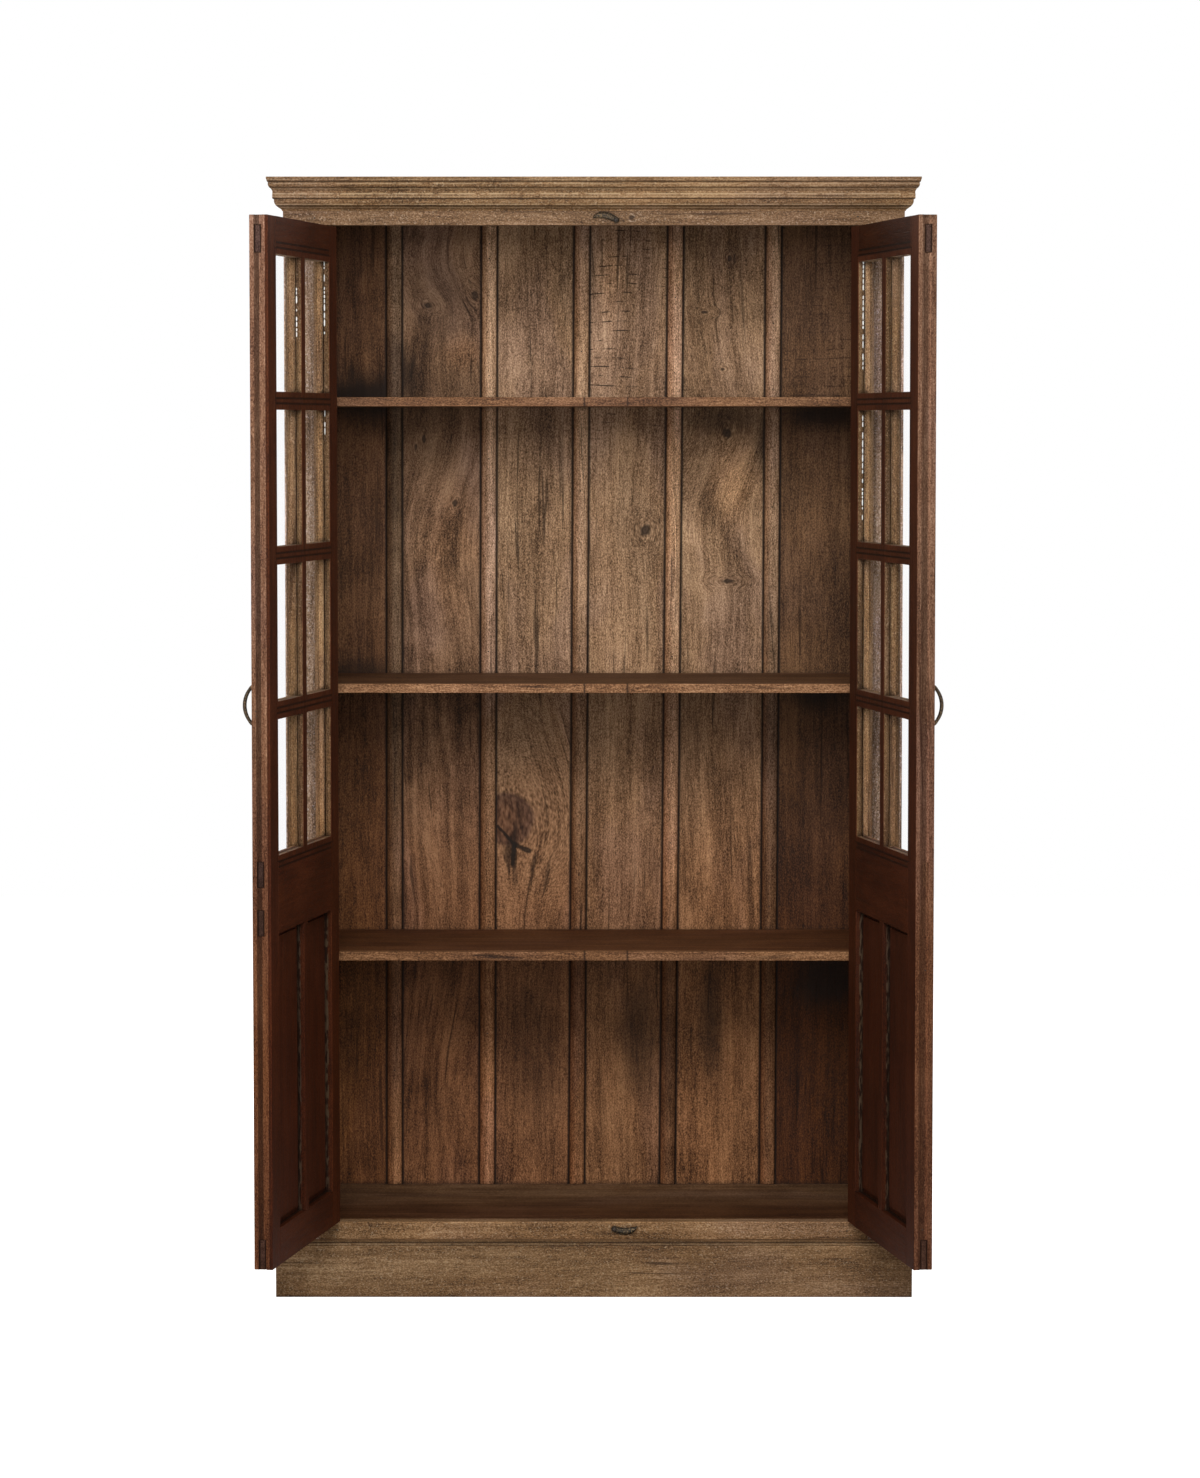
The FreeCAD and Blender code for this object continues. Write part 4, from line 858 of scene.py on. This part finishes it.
door_members = {
    "hinge_stile": ("Z", 0.0008, rebate_face),
    "meeting_stile": ("Z", 0.0010, rebate_face),
    "top_rail": ("X", 0.0006, rebate_face),
    "lock_rail": ("X", 0.0006, low_polish),
    "bottom_rail": ("X", 0.0006, low_polish),
    "glazing_bars": ("Z", 0.0003, bead_edge),
    "mullion": ("Z", 0.0006, low_polish),
    "panels": ("Z", 0.0005, low_polish),
    "glazing_beads": ("Z", 0.0004, bead_edge),
}
edge_marks = {
    "left_door": {
        "patches_and_shade": [((free_edge, 0.0312, 1.879), (0.004, 0.0062, 0.036), 1.25)],
        "stains_and_shadows": [
            ((free_edge, 0.02, 1.915), (0.004, 0.02, 0.008), 0.7),
            ((free_edge, 0.008, 1.02), (0.004, 0.006, 0.05), 0.4),
        ],
    },
    "right_door": {"stains_and_shadows": [((free_edge, 0.02, 1.912), (0.004, 0.02, 0.010), 0.6)]},
}
door_low_tint = (0.80, 0.66, 0.52)
# Painted shade: the right door is made darker than the left, in its strength and polish.
for door_number, door in enumerate(door_seats):
    for number, (member, (along, width, polish_from)) in enumerate(door_members.items()):
        marks = edge_marks[door] if member == "meeting_stile" else {}
        shift = (1.7 * number + 0.3, 0.9 * number + 5.0 * door_number, 1.3 * number + 0.7)
        dress = polished(polish_from, member, 1.05 - 0.05 * door_number, door)
        clad(
            f"{door}_{member}", width, 1.4, 0.90 - 0.20 * door_number, along=along, shift=shift,
            colours=rubbed_colours, seat=door_seats[door], dress=dress, low_tint=door_low_tint,
            grime=0.95, grime_reach=0.010, rough=0.5, sheen=0.07, relief=0.0005, **marks,
        )


# Glass: eight thin panes to each door, clear and without tint, which bend what is behind them so
# little that it stays in its place, and which let the lamps shine through.
pane_glass = cleared("pane_glass")
pane = Wire(pane_glass.node_tree)
clear = {"Base Color": white, "Roughness": 0.0, "IOR": 1.03, "Transmission Weight": 1.0}
glazed = {
    0: pane.add("LightPath", out="Is Shadow Ray"),
    1: pane.add("BsdfPrincipled", clear),
    2: pane.add("BsdfTransparent", {"Color": white}),
}
pane.add("OutputMaterial", {"Surface": pane.add("MixShader", glazed)})
for door in door_seats:
    finished(f"{door}_glass_panes", pane_glass)


# Pulls: on the outside of each door a bow of cast iron, worn brassy on its crown, on a pointed
# plate with two screws.
hair = 0.00001
rim_ease = 0.0005
same_spot = 0.000004
smooth_under = math.radians(38.0)
forward = (0.0, -1.0, 0.0)
lying = Matrix.Rotation(math.pi / 2, 4, "X")


def shaped(name, mesh, finish, body, replaced=(), place=None):
    """A new piece from a bmesh, which rides on a body and may stand for nodes."""
    bmesh.ops.remove_doubles(mesh, verts=mesh.verts, dist=same_spot)
    if place is not None:
        bmesh.ops.transform(mesh, matrix=place, verts=mesh.verts)
    bmesh.ops.recalc_face_normals(mesh, faces=mesh.faces)
    data = bpy.data.meshes.new(name)
    mesh.to_mesh(data)
    mesh.free()
    data.shade_smooth()
    data.set_sharp_from_angle(angle=smooth_under)
    piece = listed(name, data)
    piece.data.materials.append(finish)
    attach(piece, body)
    if replaced:
        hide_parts(*replaced)


def set_in(mesh, pattern, place):
    """Puts a copy of a pattern mesh in another mesh."""
    before = set(mesh.verts)
    data = bpy.data.meshes.new("pattern")
    pattern.to_mesh(data)
    mesh.from_mesh(data)
    bpy.data.meshes.remove(data)
    added = [vert for vert in mesh.verts if vert not in before]
    bmesh.ops.transform(mesh, matrix=place, verts=added)


def moved_in(mesh, pattern, place):
    """Puts a pattern mesh in another mesh and gives it up."""
    set_in(mesh, pattern, place)
    pattern.free()


def facing(way):
    """Turns what looks up to look that way."""
    return Vector((0.0, 0.0, 1.0)).rotation_difference(Vector(way)).to_matrix().to_4x4()


def raised(mesh, faces, vector):
    """Extrudes faces and moves what comes up."""
    grown_up = bmesh.ops.extrude_face_region(mesh, geom=faces)["geom"]
    verts = [item for item in grown_up if isinstance(item, bmesh.types.BMVert)]
    bmesh.ops.translate(mesh, vec=vector, verts=verts)
    return [item for item in grown_up if isinstance(item, bmesh.types.BMFace)]


def eased(mesh, edges, width, segments=2):
    """Rounds edges over."""
    bmesh.ops.bevel(
        mesh, geom=edges, offset=width, segments=segments, profile=0.5, affect="EDGES", material=-1
    )


def turned(radius, top_radius, height, segments, ease):
    """An upright turned piece with eased rims."""
    mesh = bmesh.new()
    bmesh.ops.create_cone(
        mesh, cap_ends=True, segments=segments, radius1=radius, radius2=top_radius, depth=height
    )
    level = [edge for edge in mesh.edges if abs(edge.verts[0].co.z - edge.verts[1].co.z) < hair]
    eased(mesh, level, ease)
    return mesh


def cut(mesh, spot, normal, **options):
    """Cuts a mesh through by a plane."""
    geometry = mesh.verts[:] + mesh.edges[:] + mesh.faces[:]
    bmesh.ops.bisect_plane(mesh, geom=geometry, plane_co=spot, plane_no=normal, **options)


def door_place(door):
    """Takes a piece laid out from the pin of a closed left door to where the door stands."""
    location, turn, side = door_seats[door]
    mirrored = Matrix.Diagonal((side, 1.0, 1.0, 1.0))
    return Matrix.Translation(location) @ Matrix.Rotation(turn, 4, "Z") @ mirrored


def ironwork(name, dark, brown, worn, worn_reach):
    """Cast iron, brown in its pits, and worn bright where something stands proud."""
    material = cleared(name)
    place = placed(material)
    rust = cloud(place, 150.0, 4.0)
    pits = cloud(place, 900.0, 2.0)
    colour = rust.between(0.40, 0.66).mixed(dark, brown)
    nook = place.add("AmbientOcclusion", {"Distance": worn_reach}, {"samples": 5}, "AO")
    rubbed = cloud(place, 420.0, 2.0).between(0.48, 0.66)
    colour = (nook.between(0.90, 1.0) * rubbed * 0.5).mixed(colour, worn)
    bump = place.add("Bump", {"Distance": 0.0003, "Height": pits})
    sockets = {"Base Color": colour, "Metallic": 0.75, "Roughness": 0.40 + 0.28 * rust}
    surfaced(place, dict(sockets, Normal=bump))
    return material


screw_head = bmesh.new()
bmesh.ops.create_uvsphere(screw_head, u_segments=16, v_segments=10, radius=1.0)
cut(screw_head, (0.0, 0.0, 0.0), (0.0, 0.0, 1.0), clear_inner=True)
slot_half, slot_depth, dome = 0.14, 0.28, 0.6
for side in (-slot_half, slot_half):
    cut(screw_head, (side, 0.0, 0.0), (1.0, 0.0, 0.0))
slot_faces = [
    face for face in screw_head.faces if abs(face.calc_center_median().x) < slot_half - 0.01
]
raised(screw_head, slot_faces, (0.0, 0.0, -slot_depth))
bmesh.ops.delete(screw_head, geom=slot_faces, context="FACES")
bmesh.ops.scale(screw_head, vec=(1.0, 1.0, dome), verts=screw_head.verts)


def screwed(mesh, spot, radius, turn, way=forward, proud=1.0):
    """Adds a slotted round head, its slot turned, and flatter where proud is less than one."""
    size = Matrix.Diagonal((radius, radius, radius * proud, 1.0))
    place = Matrix.Translation(spot) @ facing(way) @ Matrix.Rotation(turn, 4, "Z") @ size
    set_in(mesh, screw_head, place)


pull_iron = ironwork(
    "pull_iron", (0.026, 0.018, 0.012), (0.056, 0.036, 0.020), (0.24, 0.16, 0.08), 0.004
)
pull_place, pull_height = 0.4615, 1.091
outer_face = 0.0042
plate_thickness, plate_ease = 0.003, 0.0011
plate_steps = ((0.0016, -0.0006), (0.0010, 0.0008))
plate_quarter = [
    (8.0, 0.0), (9.5, 8.0), (14.0, 17.0), (17.0, 25.0), (16.2, 32.0), (12.0, 41.0), (5.0, 49.5),
    (0.0, 54.0),
]
bow_centre, bow_radius, bow_half_angle = 0.0297, 0.0444, math.radians(52.1)
bow_end, bow_middle, bow_steps = 0.0024, 0.0034, 24
collar_foot, collar_head, collar_height, collar_middle = 0.0056, 0.0040, 0.0022, -0.0036
swelling_share, swelling_spread, swelling_height = 0.80, 0.05, 0.30
plate_screw_height, plate_screw_radius = 0.0445, 0.0034
for door in door_seats:
    pull = bmesh.new()
    outline = plate_quarter + [(-x, z) for x, z in reversed(plate_quarter[:-1])]
    outline += [(-x, -z) for x, z in plate_quarter[1:]]
    outline += [(x, -z) for x, z in reversed(plate_quarter[1:-1])]
    plate = pull.faces.new([pull.verts.new((x * 0.001, 0.0, z * 0.001)) for x, z in outline])
    top = raised(pull, [plate], (0.0, -plate_thickness, 0.0))
    eased(pull, list(top[0].edges), plate_ease)
    bmesh.ops.recalc_face_normals(pull, faces=pull.faces)
    pull.faces.ensure_lookup_table()
    front = -plate_thickness
    field = [
        face for face in pull.faces if all(abs(vert.co.y - front) < hair for vert in face.verts)
    ]
    for thickness, depth in plate_steps:
        bmesh.ops.inset_region(pull, faces=field, thickness=thickness, depth=depth)
    bow = bmesh.new()
    bmesh.ops.create_circle(bow, segments=14, radius=bow_middle)
    bmesh.ops.translate(bow, vec=(0.0, -bow_radius, 0.0), verts=bow.verts)
    bmesh.ops.rotate(bow, matrix=Matrix.Rotation(bow_half_angle, 3, "X"), verts=bow.verts)
    bmesh.ops.spin(
        bow, geom=bow.verts[:] + bow.edges[:], cent=(0.0, 0.0, 0.0), axis=(1.0, 0.0, 0.0),
        angle=-2 * bow_half_angle, steps=bow_steps,
    )
    for vert in bow.verts:
        turn = math.atan2(vert.co.z, -vert.co.y)
        middle = Vector((0.0, -bow_radius * math.cos(turn), bow_radius * math.sin(turn)))
        share = abs(turn) / bow_half_angle
        swelling = swelling_height * math.exp(-(((share - swelling_share) / swelling_spread) ** 2))
        thick = (bow_middle + (bow_end - bow_middle) * share * share) / bow_middle + swelling
        vert.co = middle + (vert.co - middle) * thick
    bmesh.ops.holes_fill(bow, edges=[edge for edge in bow.edges if edge.is_boundary], sides=0)
    moved_in(pull, bow, Matrix.Translation((0.0, bow_centre - outer_face, 0.0)))
    foot_height = bow_radius * math.sin(bow_half_angle)
    for side in (-1, 1):
        collar = turned(collar_foot, collar_head, collar_height, 18, rim_ease)
        moved_in(pull, collar, Matrix.Translation((0.0, collar_middle, side * foot_height)) @ lying)
        spot = (0.0, -plate_thickness, side * plate_screw_height)
        screwed(pull, spot, plate_screw_radius, 0.7 + side)
    place = door_place(door) @ Matrix.Translation((pull_place, outer_face, pull_height))
    shaped(f"{door}_bow_pull", pull, pull_iron, door, [f"{door}_pull"], place)


# Turn buttons: two leaves of cast iron, each on a round-headed screw, under the cornice and on
# the bottom rail. They are reeded along the lower edge.
button_iron = ironwork(
    "button_iron", (0.012, 0.010, 0.008), (0.034, 0.023, 0.014), (0.26, 0.17, 0.08), 0.003
)
screw_iron = ironwork(
    "screw_iron", (0.018, 0.014, 0.012), (0.040, 0.028, 0.020), (0.12, 0.09, 0.06), 0.002
)
leaf_reach, leaf_reeds = 0.0415, 15
leaf_back, leaf_front = -0.0003, -0.0050
head_radius, head_taper, head_ease = 0.0056, 0.86, 0.0007
head_height, head_middle = 0.0048, -0.0028
button_screw_radius, button_screw_front = 0.0044, -0.0052
button_seats = {
    "top_turn_button": (0.0392, 1.9253, 169.5),
    "bottom_turn_button": (0.0366, 0.1205, 0.0),
}


def leaf_edges(share):
    """How high the upper and lower edges of a leaf are, in metres, that far along it."""
    upper = 1.6 + 3.9 * (max(0.0, 0.5 - share) / 0.5) ** 2
    upper += 3.3 * (max(0.0, share - 0.5) / 0.5) ** 1.6
    lower = -5.5 - 5.0 * math.sin(math.pi * min(share / 0.88, 1.0))
    lower += 10.2 * (max(0.0, share - 0.78) / 0.22) ** 2
    return upper * 0.001, lower * 0.001


for button, (reach, height, angle) in button_seats.items():
    leaf = bmesh.new()
    bmesh.ops.create_grid(leaf, x_segments=90, y_segments=14, size=0.5)
    for vert in leaf.verts:
        share, over = vert.co.x + 0.5, vert.co.y + 0.5
        upper, lower = leaf_edges(share)
        crown = 0.35 + 0.65 * math.sin(math.pi * min(max(over, 0.0), 1.0)) ** 0.5
        reeding = 0.16 * math.sin(math.tau * leaf_reeds * share) * max(0.0, 1.0 - over / 0.42)
        ribbing = 0.10 * math.cos(math.tau * 2.5 * over) * (1.0 - share)
        thick = (leaf_back - leaf_front) * min(1.0, crown + (reeding + ribbing) * crown)
        vert.co = (share * leaf_reach, leaf_back - thick, lower + (upper - lower) * over)
    for face in raised(leaf, leaf.faces[:], (0.0, 0.0, 0.0)):
        for vert in face.verts:
            vert.co.y = leaf_back
    head = bmesh.new()
    bmesh.ops.create_cone(
        head, cap_ends=True, segments=28, radius1=head_radius, radius2=head_radius * head_taper,
        depth=head_height,
    )
    rim = [edge for edge in head.edges if all(vert.co.z > 0.0 for vert in edge.verts)]
    eased(head, rim, head_ease)
    moved_in(leaf, head, Matrix.Translation((0.0, head_middle, 0.0)) @ lying)
    place = Matrix.Translation((reach, 0.0, height)) @ Matrix.Rotation(-math.radians(angle), 4, "Y")
    shaped(button + "_leaf", leaf, button_iron, button, [button], place)
screws = bmesh.new()
for reach, height, angle in button_seats.values():
    screwed(screws, (reach, button_screw_front, height), button_screw_radius, 0.6 + angle)
shaped("turn_button_screw_heads", screws, screw_iron, "carcass", ["turn_button_screws"])


# Hinges: three iron butts to each door. Their leaves are let into door and stile and screwed,
# and the knuckles stand proud of the frame on a pin with ball tips.
hinge_iron = ironwork(
    "hinge_iron", (0.050, 0.040, 0.032), (0.105, 0.066, 0.040), (0.34, 0.27, 0.18), 0.003
)
hinge_heights = (0.330, 1.024, 1.712)
knuckle_half, knuckle_radius, knuckle_gap = 0.012, 0.0039, 0.0003
tip_radius, tip_rise, tip_flatness = 0.0031, 0.0005, 0.45
leaf_half, leaf_inner, leaf_outer, leaf_ease = 0.036, 0.00015, 0.0020, 0.0003
stile_leaf, stile_neck = (0.0004, 0.0198), (-0.0040, 0.0010)
door_leaf, door_neck = (0.0046, 0.0240), (0.0002, 0.0052)
hinge_screws = ((-0.024, 0.010), (0.0, 0.014), (0.024, 0.010))
hinge_screw_radius, flush = 0.0026, 0.06


def barrel(mesh, spot):
    """A knuckle with eased rims."""
    length = 2 * knuckle_half - knuckle_gap
    knuckle = turned(knuckle_radius, knuckle_radius, length, 24, rim_ease)
    moved_in(mesh, knuckle, Matrix.Translation(spot))


def plated(mesh, *spans):
    """A leaf that fills three spans, with eased arrises."""
    low, high = (Vector(ends) for ends in zip(*(sorted(span) for span in spans)))
    flat = bmesh.new()
    bmesh.ops.create_cube(flat, size=1.0)
    bmesh.ops.scale(flat, vec=high - low, verts=flat.verts)
    eased(flat, flat.edges[:], leaf_ease, 1)
    moved_in(mesh, flat, Matrix.Translation((low + high) / 2))


def hinge_screwed(mesh, reach, height, side):
    """The three flush screws of a leaf, which look along X."""
    for drop, deep in hinge_screws:
        spot = (reach, deep, height + drop)
        screwed(mesh, spot, hinge_screw_radius, drop * 40, (side, 0.0, 0.0), flush)


stile_halves = bmesh.new()
for side in (-1, 1):
    inner, outer = (pin_reach + leaf_inner) * side, (pin_reach + leaf_outer) * side
    for height in hinge_heights:
        for end in (-1, 1):
            barrel(stile_halves, (pin_reach * side, pin_front, height + 2 * knuckle_half * end))
            tip = bmesh.new()
            bmesh.ops.create_uvsphere(tip, u_segments=16, v_segments=8, radius=tip_radius)
            spot = (pin_reach * side, pin_front, height + (leaf_half + tip_rise) * end)
            place = Matrix.Translation(spot) @ Matrix.Diagonal((1.0, 1.0, tip_flatness, 1.0))
            moved_in(stile_halves, tip, place)
        plated(stile_halves, (inner, outer), stile_leaf, (height - leaf_half, height + leaf_half))
        for end in (-1, 1):
            near = height + (knuckle_half + knuckle_gap) * end
            far = height + (leaf_half - knuckle_gap) * end
            plated(stile_halves, (inner, outer), stile_neck, (near, far))
        hinge_screwed(stile_halves, inner - hair * side, height, -side)
leaves = ["hinge_pins", "hinge_stile_leaves"]
shaped("stile_hinge_halves", stile_halves, hinge_iron, "carcass", leaves)
for door in door_seats:
    door_halves = bmesh.new()
    for height in hinge_heights:
        barrel(door_halves, (0.0, 0.0, height))
        for span, half in ((door_leaf, leaf_half), (door_neck, knuckle_half - knuckle_gap)):
            plated(door_halves, (leaf_inner, leaf_outer), span, (height - half, height + half))
        hinge_screwed(door_halves, leaf_inner + hair, height, -1)
    leaves = [f"{door}_hinge_leaves"]
    shaped(f"{door}_hinge_halves", door_halves, hinge_iron, door, leaves, door_place(door))


# Nails: small heads of dark iron in the battens, the frieze and the meeting edges.
batten_crest = 0.4083
nail_radius, edge_nail_radius, nail_flatness = 0.0015, 0.0013, 0.4
batten_nails = {
    1: (1.88, 1.66, 1.37, 0.86, 0.35), 2: (1.90, 1.872, 1.655, 1.50, 1.14, 0.80, 0.42),
    3: (1.893, 1.70, 1.44, 1.15, 0.72, 0.30), 4: (1.905, 1.80, 1.66, 1.36, 1.13, 0.78, 0.40),
    5: (1.885, 1.752, 1.63, 1.41, 1.14, 0.66, 0.26),
}
front_nails = ((-0.4948, 1.9285), (0.468, 1.931), (-0.462, 0.1185), (0.455, 0.1165))
edge_nails = {
    "left_door": ((0.0114, 1.0827), (0.0127, 1.0743), (0.0180, 0.62), (0.0195, 1.42)),
    "right_door": ((0.0178, 0.6455), (0.0209, 0.2049), (0.0120, 1.31)),
}
groove_sides, groove_depth = (0.0135, 0.0235), 0.002


def nailed(mesh, spot, radius, way=forward):
    """Adds a flat round head."""
    nail = bmesh.new()
    bmesh.ops.create_icosphere(nail, subdivisions=2, radius=radius)
    flat = Matrix.Diagonal((1.0, 1.0, nail_flatness, 1.0))
    moved_in(mesh, nail, Matrix.Translation(spot) @ facing(way) @ flat)


frame_nails = bmesh.new()
for number, heights in batten_nails.items():
    foot, head = batten_lines[number]
    for height in heights:
        lean = (height - batten_foot) / (batten_head - batten_foot)
        nailed(frame_nails, (foot + (head - foot) * lean, batten_crest, height), nail_radius)
for reach, height in front_nails:
    nailed(frame_nails, (reach, 0.0, height), nail_radius)
shaped("frame_nails", frame_nails, screw_iron, "carcass")
for door, places in edge_nails.items():
    door_nails = bmesh.new()
    for deep, height in places:
        in_groove = groove_sides[0] < deep < groove_sides[1]
        spot = (free_edge - groove_depth if in_groove else free_edge, deep, height)
        nailed(door_nails, spot, edge_nail_radius, (1.0, 0.0, 0.0))
    shaped(f"{door}_nails", door_nails, screw_iron, door, place=door_place(door))


# Putty: crumbs of white putty along the edges of some panes, where glass meets wood: painted
# highlight that stands for the glints of the glass's edges.
glint_grey, glint_white = (0.70, 0.68, 0.64), (0.90, 0.89, 0.86)
glint_putty = cleared("glint_putty_finish")
place = placed(glint_putty)
crumb = cloud(place, 700.0, 3.0)
bump = place.add("Bump", {"Distance": 0.0004, "Height": crumb})
chalk = crumb.between(0.3, 0.6).mixed(glint_grey, glint_white)
surfaced(place, {"Base Color": chalk, "Roughness": 0.45, "Normal": bump})
crumb_lengths, crumb_widths, crumb_gaps = (0.004, 0.014), (0.0008, 0.0013), (0.001, 0.002, 0.009)
crumb_thickness, crumb_aside, crumb_proud = 0.0011, 0.0004, 0.0006
glint_runs = {
    "left_door": [(0.2575, 1.713, 1.800), (0.0560, 1.722, 1.849), (0.0560, 1.545, 1.583)],
    "right_door": [(0.0560, 1.395, 1.575), (0.0560, 1.660, 1.845)],
}
for door, runs in glint_runs.items():
    crumbs = bmesh.new()
    chance = random.Random(len(door))
    for reach, low, high in runs:
        height = low
        while height < high:
            length = chance.uniform(*crumb_lengths)
            size = (crumb_thickness, chance.uniform(*crumb_widths), length / 2)
            spot = (reach + crumb_aside, rebate_face + crumb_proud, height + length / 2)
            lump = bmesh.new()
            bmesh.ops.create_icosphere(lump, subdivisions=2, radius=1.0)
            moved_in(crumbs, lump, Matrix.Translation(spot) @ Matrix.Diagonal(size + (1.0,)))
            height += length + chance.choice(crumb_gaps)
    shaped(f"{door}_putty", crumbs, glint_putty, door, place=door_place(door))
screw_head.free()
